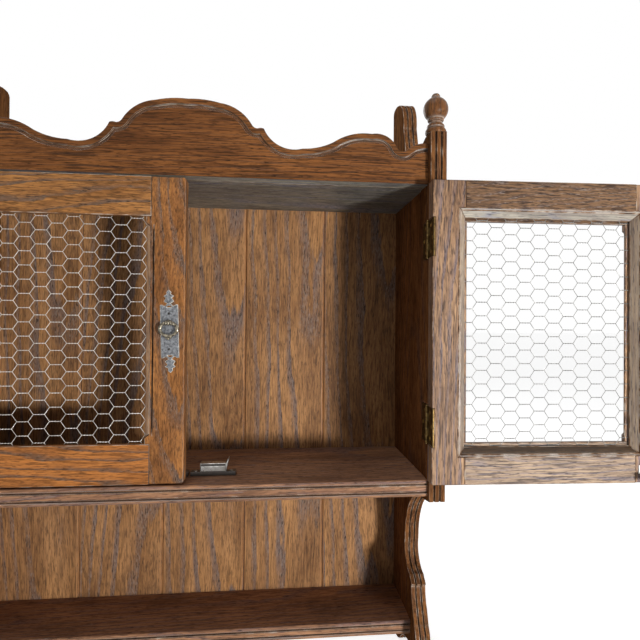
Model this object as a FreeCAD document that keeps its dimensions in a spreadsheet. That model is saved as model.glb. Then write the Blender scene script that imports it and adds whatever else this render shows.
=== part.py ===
# Wall curio cabinet in stained oak: a two-door case with wire-net doors over an open niche and a shelf.
# X runs to the right, Y into the wall and Z up. The origin lies on the wall, midway between the two
# holes that the cabinet hangs by. The left door stands closed and the right one open.
import FreeCAD
import Part
import Sketcher
import math
import os
import re

SIZES = {
    # Case
    "clear_width": 640.0,
    "side_thickness": 22.0,
    "case_depth": 206.0,
    "ceiling_drop": 111.5,
    "inner_height": 398.5,
    "top_thickness": 20.0,
    "waist_thickness": 22.0,
    "niche_height": 212.0,
    "shelf_thickness": 20.0,
    "shelf_depth": 103.0,
    "foot_drop": 55.0,
    "housing": 6.0,
    "housing_stop": 14.0,
    "back_inset": 8.0,
    "plank_thickness": 12.0,
    "plank_rabbet": 8.0,
    "plank_bevel": 2.5,
    "plank_tongue": 5.0,
    # Edge mouldings of the case
    "reed_width": 6.2,
    "quirk_width": 1.8,
    "quirk_depth": 2.6,
    "edge_bead": 5.0,
    "edge_quirk": 1.5,
    "edge_ease": 0.9,
    "crest_setback": 10.0,
    "waist_setback": 6.0,
    "crest_thickness": 20.0,
    "crest_rise": 100.5,
    "crest_band": 7.5,
    "crest_flute": 4.5,
    "crest_flute_depth": 3.2,
    # Ears and posts at the top of the sides
    "post_rise": 69.5,
    "post_depth": 26.0,
    "ear_rise": 183.5,
    "ear_depth": 92.0,
    "finial_height": 56.4,
    "finial_ball": 16.8,
    "finial_base": 14.2,
    "finial_tenon": 4.0,
    "finial_tenon_length": 15.0,
    # Doors
    "door_thickness": 20.0,
    "door_setback": 9.0,
    "door_side_gap": 2.4,
    "door_end_gap": 2.0,
    "meeting_gap": 1.8,
    "open_angle": 178.0,
    "stile_width": 49.5,
    "rail_width": 51.0,
    "frame_moulding": 6.0,
    "moulding_stop": 8.0,
    "stile_round": 2.5,
    "stile_corner": 4.0,
    "front_lip": 7.0,
    "bead_rebate": 15.0,
    "bead_width": 11.0,
    "tenon_length": 25.0,
    "tenon_thickness": 6.0,
    "tenon_inset": 10.0,
    # Wire net
    "net_hold": 12.0,
    "net_thickness": 1.2,
    "net_strand": 1.5,
    "net_pitch": 18.0,
    "net_column": 19.7,
    "net_twist": 14.2,
    "net_margin": 7.0,
    "net_left_across": 13.5,
    "net_left_down": 11.1,
    "net_right_across": 20.4,
    "net_right_down": 16.6,
    # Hinges
    "hinge_height": 50.0,
    "hinge_inset": 73.75,
    "leaf_width": 24.5,
    "leaf_thickness": 1.8,
    "leaf_let": 0.4,
    "pin_inset": 2.6,
    "pin_forward": 5.0,
    "pin_radius": 1.0,
    "pin_clearance": 0.05,
    "pin_end": 0.8,
    "knuckle_radius": 2.3,
    "knuckle_gap": 0.2,
    "knuckle_room": 0.4,
    # Handles
    "handle_drop": 1.6,
    "plate_height": 68.3,
    "plate_width": 22.7,
    "plate_thickness": 1.2,
    "plate_inset": 19.0,
    "plate_tip": 19.2,
    "plate_moon": 6.4,
    "moon_inset": 3.4,
    "post_shank": 1.9,
    "post_length": 10.0,
    "peg_fit": 0.05,
    "ring_radius": 10.2,
    "ring_wire": 1.55,
    "ring_standoff": 6.6,
    "ring_above": 11.4,
    "eye_radius": 3.7,
    "eye_hole": 1.9,
    "eye_width": 3.2,
    # Catches
    "catch_reach": 32.0,
    "catch_length": 61.0,
    "catch_depth": 12.0,
    "catch_flange": 5.5,
    "catch_height": 17.0,
    "catch_middle": 33.0,
    "catch_pole": 1.2,
    "pole_height": 7.0,
    "catch_plate": 1.0,
    "tab_rise": 6.5,
    "tab_lean": 4.0,
    "catch_air": 0.4,
    "strike_width": 18.0,
    "strike_height": 9.0,
    "strike_foot": 12.0,
    "strike_reach": 14.6,
    "strike_thickness": 1.0,
    # Hanging plates
    "hanger_width": 16.0,
    "hanger_height": 50.0,
    "hanger_thickness": 2.0,
    "hanger_hole": 4.0,
    "hanger_pocket": 6.5,
    "hanger_pocket_depth": 14.0,
}

# Places that follow from the sizes, as expressions of them and of each other
PLACES = {
    "half_clear": "clear_width / 2",
    "front": "-case_depth",
    "back_face": "-back_inset - plank_thickness",
    "ceiling": "-ceiling_drop",
    "floor": "ceiling - inner_height",
    "waist_under": "floor - waist_thickness",
    "shelf_top": "waist_under - niche_height",
    "shelf_under": "shelf_top - shelf_thickness",
    "foot": "shelf_under - foot_drop",
    "post_top": "ceiling + post_rise",
    "crest_front": "front + crest_setback",
    "crest_back": "crest_front + crest_thickness",
    "waist_front": "front + waist_setback",
    "shelf_front": "back_face - shelf_depth",
    "panel_middle": "half_clear + side_thickness / 2",
    "finial_y": "front + finial_base",
    "door_face": "front + door_setback",
    "door_back": "door_face + door_thickness",
    "door_edge": "half_clear - door_side_gap",
    "door_top": "ceiling - door_end_gap",
    "door_bottom": "floor + door_end_gap",
    "sight_hinge": "stile_width - door_edge",
    "sight_meet": "-meeting_gap / 2 - stile_width",
    "sight_top": "door_top - rail_width",
    "sight_bottom": "door_bottom + rail_width",
    "net_front": "door_face + front_lip",
    "net_back": "net_front + net_thickness",
    "bead_depth": "door_back - net_back",
    "bead_middle_x": "(sight_hinge + sight_meet) / 2",
    "bead_middle_z": "(sight_top + sight_bottom) / 2",
    "pin_x": "half_clear - pin_inset",
    "pin_y": "door_face - pin_forward",
    "leaf_face": "half_clear + leaf_let - leaf_thickness",
    "door_leaf_face": "2 * pin_x - leaf_face",
    "upper_hinge": "door_top - hinge_inset",
    "lower_hinge": "door_bottom + hinge_inset",
    "knuckle_length": "hinge_height / 5",
    "handle_x": "-meeting_gap / 2 - plate_inset",
    "handle_z": "(door_top + door_bottom) / 2 - handle_drop",
    "plate_face": "door_face - plate_thickness",
    "ring_y": "plate_face - ring_standoff",
    "eye_z": "handle_z + ring_above",
    "catch_front": "door_back + strike_reach + catch_air",
    "catch_body_front": "catch_front + catch_pole",
    "catch_seat": "floor + catch_flange",
    "catch_top": "floor + catch_height",
    "pole_top": "catch_seat + 1 + pole_height",
    "strike_end": "door_back + strike_reach",
}

doc = FreeCAD.newDocument("wall_curio_cabinet")
sheet = doc.addObject("Spreadsheet::Sheet", "Dims")
for row, (alias, number) in enumerate(SIZES.items(), 1):
    sheet.set(f"A{row}", alias)
    sheet.set(f"B{row}", str(number))
    sheet.setAlias(f"B{row}", alias)
doc.recompute()

nodes = {}


def full(text):
    """Expression in sheet cells for a text that names sizes and places."""
    def swap(match):
        word = match.group(0)
        if word in PLACES:
            return "(" + full(PLACES[word]) + ")"
        return "Dims." + word if word in SIZES else word
    return re.sub(r"[a-z_]+", swap, str(text))


def value(text):
    """Number that an expression has now."""
    return float(sheet.evalExpression(full(text)))


def bind(piece, **places):
    """Binds properties of a piece to expressions; double underscores stand for dots."""
    for name, text in places.items():
        piece.setExpression(name.replace("__", "."), full(text))
    return piece


def place(piece, x="0", y="0", z="0"):
    """Puts the origin of a piece at bound coordinates."""
    return bind(piece, Placement__Base__x=x, Placement__Base__y=y, Placement__Base__z=z)


def node(label, piece):
    """Registers a finished sub-part under the name of its file."""
    piece.Label = label
    nodes[label] = piece
    return piece


def box(name, x, y, z):
    """Box between two bound coordinates on each axis."""
    piece = doc.addObject("Part::Box", name)
    bind(piece, Length=f"{x[1]} - ({x[0]})", Width=f"{y[1]} - ({y[0]})", Height=f"{z[1]} - ({z[0]})")
    return place(piece, x[0], y[0], z[0])


TURNS = {
    "+z": FreeCAD.Rotation(),
    "+x": FreeCAD.Rotation(FreeCAD.Vector(0, 1, 0), 90),
    "+y": FreeCAD.Rotation(FreeCAD.Vector(1, 0, 0), -90),
    "-y": FreeCAD.Rotation(FreeCAD.Vector(1, 0, 0), 90),
}


def rod(name, at, along, radius, length):
    """Cylinder from a point along an axis."""
    piece = doc.addObject("Part::Cylinder", name)
    piece.Placement.Rotation = TURNS[along]
    bind(piece, Radius=radius, Height=length)
    return place(piece, *at)


def cone(name, at, along, radius, end_radius, length):
    """Truncated cone from a point along an axis."""
    piece = doc.addObject("Part::Cone", name)
    piece.Placement.Rotation = TURNS[along]
    bind(piece, Radius1=radius, Radius2=end_radius, Height=length)
    return place(piece, *at)


def fuse(name, pieces):
    joined = doc.addObject("Part::MultiFuse", name)
    joined.Shapes = pieces
    joined.Refine = True
    return joined


def cut(name, base, tools):
    """Base less its tools."""
    piece = doc.addObject("Part::Cut", name)
    piece.Base = base
    piece.Tool = tools[0] if len(tools) == 1 else fuse(name + "_tools", tools)
    piece.Refine = True
    return piece


def common(name, base, tool):
    piece = doc.addObject("Part::Common", name)
    piece.Base = base
    piece.Tool = tool
    return piece


def group(name, pieces):
    """Separate solids that share one node."""
    piece = doc.addObject("Part::Compound", name)
    piece.Links = pieces
    return piece


def mirrored(name, source):
    """Right-hand copy of a left-hand piece."""
    piece = doc.addObject("Part::Mirroring", name)
    piece.Source = source
    piece.Normal = FreeCAD.Vector(1, 0, 0)
    return piece


def swung(name, source):
    """Right-hand copy of a left-door piece, turned about the right hinge pins to the open angle."""
    piece = group(name, [mirrored(name + "_closed", source)])
    piece.Placement.Rotation = FreeCAD.Rotation(FreeCAD.Vector(0, 0, 1), SIZES["open_angle"])
    bind(piece, Placement__Rotation__Angle="open_angle")
    return place(piece, "pin_x - pin_x * cos(open_angle) + pin_y * sin(open_angle)",
                 "pin_y - pin_x * sin(open_angle) - pin_y * cos(open_angle)")


FACING = {
    "XY": FreeCAD.Rotation(),
    "XZ": FreeCAD.Rotation(FreeCAD.Vector(1, 0, 0), 90),
    "YZ": FreeCAD.Rotation(FreeCAD.Vector(1, 1, 1), 120),
}
ALONG = {"XY": FreeCAD.Vector(0, 0, 1), "XZ": FreeCAD.Vector(0, 1, 0), "YZ": FreeCAD.Vector(1, 0, 0)}


def polygon(sketch, corners):
    """Closed outline of straight sides, each corner held at a pair of expressions."""
    spots = [FreeCAD.Vector(value(a), value(b), 0) for a, b in corners]
    first = sketch.GeometryCount
    count = len(spots)
    for i in range(count):
        sketch.addGeometry(Part.LineSegment(spots[i], spots[(i + 1) % count]))
    for i, (a, b) in enumerate(corners):
        sketch.addConstraint(Sketcher.Constraint("Coincident", first + i, 2, first + (i + 1) % count, 1))
        across = sketch.addConstraint(Sketcher.Constraint("DistanceX", -1, 1, first + i, 1, spots[i].x))
        sketch.setExpression(f"Constraints[{across}]", full(a))
        along = sketch.addConstraint(Sketcher.Constraint("DistanceY", -1, 1, first + i, 1, spots[i].y))
        sketch.setExpression(f"Constraints[{along}]", full(b))


def trace(sketch, start, steps):
    """Closed outline from start: a step is an end point, or a point passed on an arc and its end point."""
    here = FreeCAD.Vector(*start, 0)
    for step in steps:
        end = FreeCAD.Vector(*step[-1], 0)
        if len(step) == 1:
            sketch.addGeometry(Part.LineSegment(here, end))
        else:
            sketch.addGeometry(Part.Arc(here, FreeCAD.Vector(*step[0], 0), end))
        here = end


def bow(start, end, rise):
    """Arc step whose middle stands off its chord, to the right of travel, by a share of the chord."""
    across = (end[0] - start[0], end[1] - start[1])
    middle = ((start[0] + end[0]) / 2 + rise * across[1], (start[1] + end[1]) / 2 - rise * across[0])
    return [middle, end]


def scroll(start, turns):
    """Steps of an outline from pairs of end point and rise; a rise of None is a straight side."""
    steps = []
    here = start
    for end, rise in turns:
        steps.append([end] if rise is None else bow(here, end, rise))
        here = end
    return steps


def drawing(name, plane):
    """Free sketch on one of the three planes."""
    sketch = doc.addObject("Sketcher::SketchObject", name)
    sketch.Placement.Rotation = FACING[plane]
    return sketch


def extruded(name, profile, plane, start, length):
    """Solid of a closed profile, from a bound place on the plane's axis over a bound length."""
    piece = doc.addObject("Part::Extrusion", name)
    piece.Base = profile
    piece.DirMode = "Custom"
    piece.Dir = ALONG[plane]
    piece.Solid = True
    bind(piece, LengthFwd=length)
    axis = {"XY": "z", "XZ": "y", "YZ": "x"}[plane]
    return place(piece, **{axis: start})


def prism(name, plane, corners, start, length):
    """Solid of straight-sided profile."""
    profile = drawing(name + "_profile", plane)
    polygon(profile, corners)
    return extruded(name, profile, plane, start, length)


def inset_outline(name, profile, distance):
    """Outline that runs a bound distance inside another."""
    piece = doc.addObject("Part::Offset2D", name)
    piece.Source = profile
    piece.Mode = "Pipe"
    piece.Join = "Arc"
    return bind(piece, Value=f"-({distance})")


def turned(name, start, steps):
    """Body of revolution about Z from a half profile of radius and height."""
    body = doc.addObject("PartDesign::Body", name)
    sketch = body.newObject("Sketcher::SketchObject", name + "_half")
    sketch.AttachmentSupport = (next(f for f in body.Origin.OriginFeatures if f.Role == "XZ_Plane"), "")
    sketch.MapMode = "FlatFace"
    trace(sketch, start, steps)
    lathe = body.newObject("PartDesign::Revolution", name + "_lathe")
    lathe.Profile = sketch
    lathe.ReferenceAxis = (sketch, ["V_Axis"])
    lathe.Angle = 360
    return body


# Hinges of the left door. Five knuckles share one pin; the case leaf has the first, third and fifth.
def hinge(name, height):
    """Case leaf, door leaf and pin of one hinge."""
    low = f"{height} - hinge_height / 2"
    high = f"{height} + hinge_height / 2"
    reach = ("pin_y", "pin_y + leaf_width")
    axis = ("-pin_x", "pin_y")
    bore = rod(name + "_bore", (*axis, low), "+z", "pin_radius + pin_clearance", "hinge_height")
    pin = rod(name + "_pin", (*axis, f"{low} - pin_end"), "+z", "pin_radius", "hinge_height + 2 * pin_end")
    leaves = {}
    for part, faces, own in (
        ("case", ("-half_clear - leaf_let", "-leaf_face"), (0, 2, 4)),
        ("door", ("-door_leaf_face", "leaf_thickness - door_leaf_face"), (1, 3)),
    ):
        solids = [box(f"{name}_{part}_plate", faces, reach, (low, high))]
        rooms = [bore]
        for i in range(5):
            foot = f"{low} + {i} * knuckle_length"
            if i in own:
                solids.append(rod(f"{name}_{part}_knuckle_{i}", (*axis, f"{foot} + knuckle_gap / 2"), "+z",
                                  "knuckle_radius", "knuckle_length - knuckle_gap"))
            else:
                rooms.append(rod(f"{name}_{part}_room_{i}", (*axis, f"{foot} - knuckle_gap / 2"), "+z",
                                 "knuckle_radius + knuckle_room", "knuckle_length + knuckle_gap"))
        leaves[part] = cut(f"{name}_{part}_leaf", fuse(f"{name}_{part}_blank", solids), rooms)
    return leaves["case"], leaves["door"], pin


hinges = {key: hinge(key, key) for key in ("upper_hinge", "lower_hinge")}


case_leaves = group("case_leaves", [case_leaf for case_leaf, door_leaf, pin in hinges.values()])
node("case_leaves_left", case_leaves)
node("case_leaves_right", mirrored("case_leaves_mirror", case_leaves))
pins = group("pins", [pin for case_leaf, door_leaf, pin in hinges.values()])
node("hinge_pins_left", pins)
node("hinge_pins_right", mirrored("pins_mirror", pins))


# Hanging plates, let flush into the rear edges of the sides.
hanger_reach = ("-panel_middle - hanger_width / 2", "hanger_width / 2 - panel_middle")
hanger_tall = ("-hanger_height / 2", "hanger_height / 2")
hanger_plate = box("hanger_plate", hanger_reach, ("-hanger_thickness", "0"), hanger_tall)
hanger_eye = rod("hanger_eye", ("-panel_middle", "0", "0"), "-y", "hanger_hole", "hanger_thickness")
hanger = cut("hanger", hanger_plate, [hanger_eye])
node("hanger_plates", group("hangers", [hanger, mirrored("hanger_mirror", hanger)]))


# Side panels. The outline runs from the post's front foot up and round to the wall and back below.
def side_outline(sketch, wall):
    """Scrolled outline of a side, in Y and Z, with its rear edge at a given Y."""
    front = value("front")
    top = value("post_top")
    ear = value("ceiling + ear_rise")
    waist = value("waist_under")
    shelf = value("shelf_top")
    foot = value("foot")
    depth = value("ear_depth")
    post_back = front + value("post_depth")
    start = (front, waist - 5.5)
    turns = [
        ((front, top), None),
        ((post_back, top), None),
        ((4 - depth, top), 0.09),
        ((14 - depth, top + 23), 0.16),
        ((25 - depth, top + 59), None),
        ((-33, ear - 3.5), -0.2),
        ((-9, ear - 0.5), -0.06),
        ((wall, ear - 8), -0.19 if wall == 0 else None),
        ((wall, foot), None),
        ((-26, foot), None),
        ((-62, foot + 10), -0.1),
        ((-136, foot + 33), 0.16),
        ((-143, foot + 36), None),
        ((-142, shelf + 3), -0.2),
        ((-134, shelf + 22), None),
        ((-125.5, shelf + 52.5), 0.08),
        ((-128, shelf + 55.5), None),
        ((-116, shelf + 65.5), None),
        ((-90, shelf + 108), 0.24),
        ((front + 27, waist - 10), 0.207),
        (start, None),
    ]
    trace(sketch, start, scroll(start, turns))


panel_outline = drawing("panel_outline", "YZ")
side_outline(panel_outline, 0.0)
panel_blank = extruded("panel_blank", panel_outline, "YZ", "-half_clear - side_thickness", "side_thickness")
# The reeds on the front edges are left standing by quirks, which run off past the rear edge.
quirk_outline = drawing("quirk_outline", "YZ")
side_outline(quirk_outline, value("plank_thickness"))
quirk_inner = inset_outline("quirk_inner", quirk_outline, "quirk_depth")
panel_tools = []
for i, edge in enumerate(("half_clear + reed_width + quirk_width",
                          "half_clear + side_thickness - reed_width")):
    whole = extruded(f"quirk_whole_{i}", quirk_outline, "YZ", f"-({edge})", "quirk_width")
    core = extruded(f"quirk_core_{i}", quirk_inner, "YZ", f"-({edge})", "quirk_width")
    panel_tools.append(cut(f"quirk_{i}", whole, [core]))
housed = ("-half_clear - housing", "1 - half_clear")
panel_tools += [
    box("top_housing", housed, ("crest_back + housing_stop", "back_face"),
        ("ceiling", "ceiling + top_thickness")),
    box("waist_housing", housed, ("waist_front + housing_stop", "back_face"), ("waist_under", "floor")),
    box("shelf_housing", housed, ("shelf_front + housing_stop", "back_face"), ("shelf_under", "shelf_top")),
    box("rabbet", ("-half_clear - plank_rabbet", "1 - half_clear"), ("back_face", "1"),
        ("shelf_under", "ceiling + top_thickness")),
    box("hanger_recess", hanger_reach, ("-hanger_thickness", "1"), hanger_tall),
    rod("hanger_pocket", ("-panel_middle", "0", "0"), "-y", "hanger_pocket", "hanger_pocket_depth"),
    rod("finial_socket", ("-panel_middle", "finial_y", "post_top - finial_tenon_length"), "+z",
        "finial_tenon", "finial_tenon_length + 1"),
]
for height in hinges:
    panel_tools.append(box(f"{height}_recess", ("-half_clear - leaf_let", "1 - half_clear"),
                           ("front - 1", "pin_y + leaf_width"),
                           (f"{height} - hinge_height / 2", f"{height} + hinge_height / 2")))
panel = cut("panel", panel_blank, panel_tools)
node("side_panel_left", panel)
node("side_panel_right", mirrored("panel_mirror", panel))


# Turned finials on the posts, each with a tenon in its post.
def finial_steps():
    """Half profile from the tenon's foot up: base, bead, neck, collar, ball and button."""
    base = value("finial_base")
    ball = value("finial_ball")
    tenon = value("finial_tenon - peg_fit")
    tall = value("finial_height")
    start = (0, 0.5 - value("finial_tenon_length"))
    centre = tall - 22.2
    collar_top = centre - math.sqrt(ball ** 2 - 10.6 ** 2)
    button = centre + math.sqrt(ball ** 2 - 6.7 ** 2)
    return start, [
        [(tenon, start[1])],
        [(tenon, 0)],
        [(base - 1, 0)],
        [(base, 3.2), (base - 1, 6.4)],
        [(10.8, 7.2)],
        [(11.9, 10.2), (9.2, 14)],
        [(8.2, 15)],
        [(8.1, 16.8)],
        [(9.2, 17.4)],
        [(10.9, 19), (10.6, collar_top)],
        [(ball, centre), (6.7, button)],
        [(6.2, button + 1.6)],
        [(5.5, tall - 2.9)],
        [(4.2, tall - 1.2)],
        [(2.2, tall - 0.3)],
        [(0, tall)],
        [start],
    ]


finial = place(turned("finial", *finial_steps()), "-panel_middle", "finial_y", "post_top")
node("finial_left", finial)
node("finial_right", mirrored("finial_mirror", finial))


# Boards. The waist board and the lower shelf have an edge of bead, quirk, band, quirk and bead.
def board(name, front, under, thickness):
    """Shelf board with a moulded front edge and ends that are let into the sides."""
    low = value(under)
    high = low + value(thickness)
    face = value(front)
    bead = value("edge_bead")
    quirk = value("edge_quirk")
    ease = value("edge_ease")
    round_in = face + bead / 2
    start = (value("back_face"), low)
    steps = [
        [(round_in, low)],
        [(face, low + bead / 2), (round_in, low + bead)],
        [(round_in, low + bead + quirk)],
        [(face + ease, low + bead + quirk)],
        [(face, low + bead + quirk + ease)],
        [(face, high - bead - quirk - ease)],
        [(face + ease, high - bead - quirk)],
        [(round_in, high - bead - quirk)],
        [(round_in, high - bead)],
        [(face, high - bead / 2), (round_in, high)],
        [(value("back_face"), high)],
        [start],
    ]
    profile = drawing(name + "_profile", "YZ")
    trace(profile, start, steps)
    middle = extruded(name + "_middle", profile, "YZ", "-half_clear", "clear_width")
    ends = box(name + "_ends", ("-half_clear - housing", "half_clear + housing"),
               (f"{front} + housing_stop", "back_face"), (under, f"{under} + {thickness}"))
    return fuse(name, [middle, ends])


node("waist_board", board("waist", "waist_front", "waist_under", "waist_thickness"))
node("lower_shelf", board("shelf", "shelf_front", "shelf_under", "shelf_thickness"))
top_middle = box("top_middle", ("-half_clear", "half_clear"), ("crest_back", "back_face"),
                 ("ceiling", "ceiling + top_thickness"))
top_ends = box("top_ends", ("-half_clear - housing", "half_clear + housing"),
               ("crest_back + housing_stop", "back_face"), ("ceiling", "ceiling + top_thickness"))
node("top_board", fuse("top", [top_middle, top_ends]))


# Crest board, symmetric about the middle, with a flute that follows its scrolled top.
def crest_outline(sketch, spread, drop):
    """Outline in X and Z; the flute's copy spreads past the ends and drops below the board."""
    low = value("ceiling")
    peak = low + value("crest_rise")
    half = value("half_clear")
    right = [
        ((41, peak - 3.5), -0.04),
        ((82.5, peak - 30.4), -0.12),
        ((90, peak - 34.5), 0.14),
        ((98, peak - 34.5), -0.1),
        ((149, peak - 58.7), 0.19),
        ((190, peak - 48.5), 0.06),
        ((half - 78, peak - 35), -0.09),
        ((half - 44, peak - 51), -0.17),
        ((half - 29, peak - 54), 0.3),
        ((half, peak - 44.7), -0.1),
    ]
    start = (0, peak)
    turns = right + [
        ((half + spread, peak - 44.7), None),
        ((half + spread, low - drop), None),
        ((-half - spread, low - drop), None),
        ((-half - spread, peak - 44.7), None),
        ((-half, peak - 44.7), None),
    ]
    if spread == 0:
        turns = right + [((half, low), None), ((-half, low), None), ((-half, peak - 44.7), None)]
    ends = [start] + [end for end, rise in right]
    for i in range(len(right) - 1, -1, -1):
        turns.append(((-ends[i][0], ends[i][1]), right[i][1]))
    trace(sketch, start, scroll(start, turns))


crest_profile = drawing("crest_profile", "XZ")
crest_outline(crest_profile, 0, 0)
crest_blank = extruded("crest_blank", crest_profile, "XZ", "crest_front", "crest_thickness")
flute_profile = drawing("flute_profile", "XZ")
crest_outline(flute_profile, value("crest_band + crest_flute + side_thickness"), value("crest_rise"))
flute_edges = [inset_outline(f"flute_edge_{i}", flute_profile, inset)
               for i, inset in enumerate(("crest_band", "crest_band + crest_flute"))]
flute_rings = [extruded(f"flute_ring_{i}", edge, "XZ", "crest_front", "crest_flute_depth")
               for i, edge in enumerate(flute_edges)]
node("crest_board", cut("crest", crest_blank, [cut("flute", flute_rings[0], [flute_rings[1]])]))


# Back planks, tongued and grooved, with a V at each joint on the front.
PLANKS = 5


def plank(index):
    """One upright plank; the outer ones end in the rabbets of the sides."""
    pitch = f"(clear_width + 2 * plank_rabbet) / {PLANKS}"
    left = f"{index} * {pitch} - half_clear - plank_rabbet"
    right = f"{index + 1} * {pitch} - half_clear - plank_rabbet"
    rear = "-back_inset"
    near = "back_face + plank_thickness / 3"
    far = "back_face + 2 * plank_thickness / 3"
    corners = [(left, rear)]
    if index > 0:
        groove = f"{left} + plank_tongue + 0.5"
        corners += [(left, far), (groove, far), (groove, near), (left, near),
                    (left, "back_face + plank_bevel"), (f"{left} + plank_bevel", "back_face")]
    else:
        corners += [(left, "back_face")]
    if index < PLANKS - 1:
        tongue = f"{right} + plank_tongue"
        corners += [(f"{right} - plank_bevel", "back_face"), (right, "back_face + plank_bevel"),
                    (right, near), (tongue, near), (tongue, far), (right, far)]
    else:
        corners += [(right, "back_face")]
    corners += [(right, rear)]
    return prism(f"plank_{index + 1}", "XY", corners, "shelf_under",
                 "ceiling + top_thickness - (shelf_under)")


for index in range(PLANKS):
    node(f"back_plank_{index + 1}", plank(index))


# Magnetic catches on the floor behind the doors: a dark base, a pole bar, and a steel strap whose outer
# leg stands up as a bent tab.
catch_ends = ("-catch_reach - catch_length / 2", "catch_length / 2 - catch_reach")
catch_core = ("-catch_reach - catch_middle / 2", "catch_middle / 2 - catch_reach")
catch_deep = ("catch_body_front", "catch_body_front + catch_depth")
catch = fuse("catch", [
    box("catch_base", catch_ends, catch_deep, ("floor", "catch_seat")),
    box("catch_housing", catch_core, catch_deep, ("floor", "catch_top - catch_plate")),
])
node("catch_left", catch)
node("catch_right", mirrored("catch_mirror", catch))
pole = box("pole", catch_core, ("catch_front", "catch_body_front"), ("catch_seat + 1", "pole_top"))
strap_far = f"{catch_core[0]} - catch_plate"
strap_near = f"{catch_core[1]} + catch_plate"
strap = fuse("strap", [
    box("strap_leg", (catch_core[1], strap_near), catch_deep, ("catch_seat", "catch_top")),
    box("strap_top", (strap_far, strap_near), catch_deep, ("catch_top - catch_plate", "catch_top")),
    prism("strap_tab", "XZ", [
        (strap_far, "catch_seat"),
        (catch_core[0], "catch_seat"),
        (catch_core[0], "catch_top - catch_plate"),
        (f"{catch_core[0]} - tab_lean", "catch_top + tab_rise"),
        (f"{strap_far} - tab_lean", "catch_top + tab_rise"),
    ], "catch_body_front", "catch_depth"),
])
catch_steel = group("catch_steel", [pole, strap])
node("catch_plates", group("catch_steels", [catch_steel, mirrored("catch_steel_mirror", catch_steel)]))


def door_pair(label, piece):
    """Registers a piece of the left door and its copy on the open right door."""
    node("left_" + label, piece)
    node("right_" + label, swung("right_" + label, piece))


# Strikes: a foot on the stile, an arm that reaches back and a face that meets the pole.
strike_across = ("-catch_reach - strike_width / 2", "strike_width / 2 - catch_reach")
strike = fuse("strike", [
    box("strike_foot_plate", strike_across, ("door_back", "door_back + strike_thickness"),
        ("pole_top", "pole_top + strike_foot")),
    box("strike_arm", strike_across, ("door_back", "strike_end"),
        ("pole_top", "pole_top + strike_thickness")),
    box("strike_face", strike_across, ("strike_end - strike_thickness", "strike_end"),
        ("pole_top + strike_thickness - strike_height", "pole_top + strike_thickness")),
])
door_pair("strike_plate", strike)


# Handle: a plate with leaf tips, a post with an eye through it, and a ring in the eye.
def half_end(sign):
    """Right half of a plate end, from its corner past the ear and the leaf's lobes to the point."""
    end = value("handle_z") + sign * value("plate_height") / 2
    half = value("plate_width") / 2
    tip = value("plate_tip")
    marks = [(half, 0), (half - 3.2, 0), (half - 4.5, -1.4), (4, -1.4), (3.3, 0.8), (1.9, 1.4),
             (6.6, 0.22 * tip), (3.7, 0.45 * tip), (6.8, 0.58 * tip), (2.4, 0.71 * tip),
             (3.5, 0.83 * tip), (0, tip)]
    return [(value("handle_x") + across, end + sign * along) for across, along in marks]


def plate_outline(sketch):
    """Outline of the plate in X and Z."""
    centre = value("handle_x")
    upper = half_end(1)
    lower = half_end(-1)
    points = upper + [(2 * centre - x, z) for x, z in upper[-2::-1] + lower] + lower[-2::-1]
    trace(sketch, points[0], [[point] for point in points[1:] + points[:1]])


def moon(name, sign):
    """Cutter for the half-moon piercing at one end of the plate."""
    half = value("plate_moon") / 2
    centre = value("handle_x")
    level = value("handle_z") + sign * (value("plate_height") / 2 - value("moon_inset"))
    profile = drawing(name + "_profile", "XZ")
    trace(profile, (centre - half, level), [[(centre, level + sign * 2.2), (centre + half, level)],
                                            [(centre - half, level)]])
    return extruded(name, profile, "XZ", "plate_face", "plate_thickness")


plate_profile = drawing("plate_profile", "XZ")
plate_outline(plate_profile)
plate_blank = extruded("plate_blank", plate_profile, "XZ", "plate_face", "plate_thickness")
eye_x = ("handle_x - eye_width / 2", "handle_x + eye_width / 2")
post_shank = rod("post_shank_rod", ("handle_x", "plate_face", "eye_z"), "+y", "post_shank", "post_length")
post_hole = rod("post_hole", ("handle_x", "plate_face", "eye_z"), "+y", "post_shank + peg_fit",
                "post_length + peg_fit")
moons = [moon("upper_moon", 1), moon("lower_moon", -1)]
door_pair("handle_plate", cut("plate", plate_blank, [post_hole] + moons))
eye_blank = fuse("eye_blank", [
    rod("eye_disc", (eye_x[0], "ring_y", "eye_z"), "+x", "eye_radius", "eye_width"),
    box("eye_neck", eye_x, ("ring_y", "plate_face"), ("eye_z - eye_width / 2", "eye_z + eye_width / 2")),
    cone("eye_collar", ("handle_x", "plate_face", "eye_z"), "-y", "eye_radius + 1", "eye_radius - 1",
         "eye_width / 2"),
    post_shank,
])
eye_bore = rod("eye_bore", (eye_x[0], "ring_y", "eye_z"), "+x", "eye_hole", "eye_width")
door_pair("ring_post", cut("eye", eye_blank, [eye_bore]))
hoop = doc.addObject("Part::Torus", "hoop")
hoop.Placement.Rotation = TURNS["+y"]
bind(hoop, Radius1="ring_radius", Radius2="ring_wire")
place(hoop, "handle_x", "ring_y", "eye_z - ring_radius")
door_pair("ring_pull", hoop)


# Door frame, mortised and tenoned. The rails stop short of the moulding on the stiles' inner edges.
rebate = box("rebate", ("sight_hinge - bead_rebate", "sight_meet + bead_rebate"),
             ("door_face + front_lip", "door_back + 1"),
             ("sight_bottom - bead_rebate", "sight_top + bead_rebate"))
shoulders = ("sight_hinge - frame_moulding", "sight_meet + frame_moulding")
tenon_deep = ("door_face + front_lip", "door_face + front_lip + tenon_thickness")
tenon_heights = {
    "top": ("sight_top + bead_rebate + 1", "door_top - tenon_inset"),
    "bottom": ("door_bottom + tenon_inset", "sight_bottom - bead_rebate - 1"),
}
rail_heights = {"top": ("sight_top", "door_top"), "bottom": ("door_bottom", "sight_bottom")}


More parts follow.
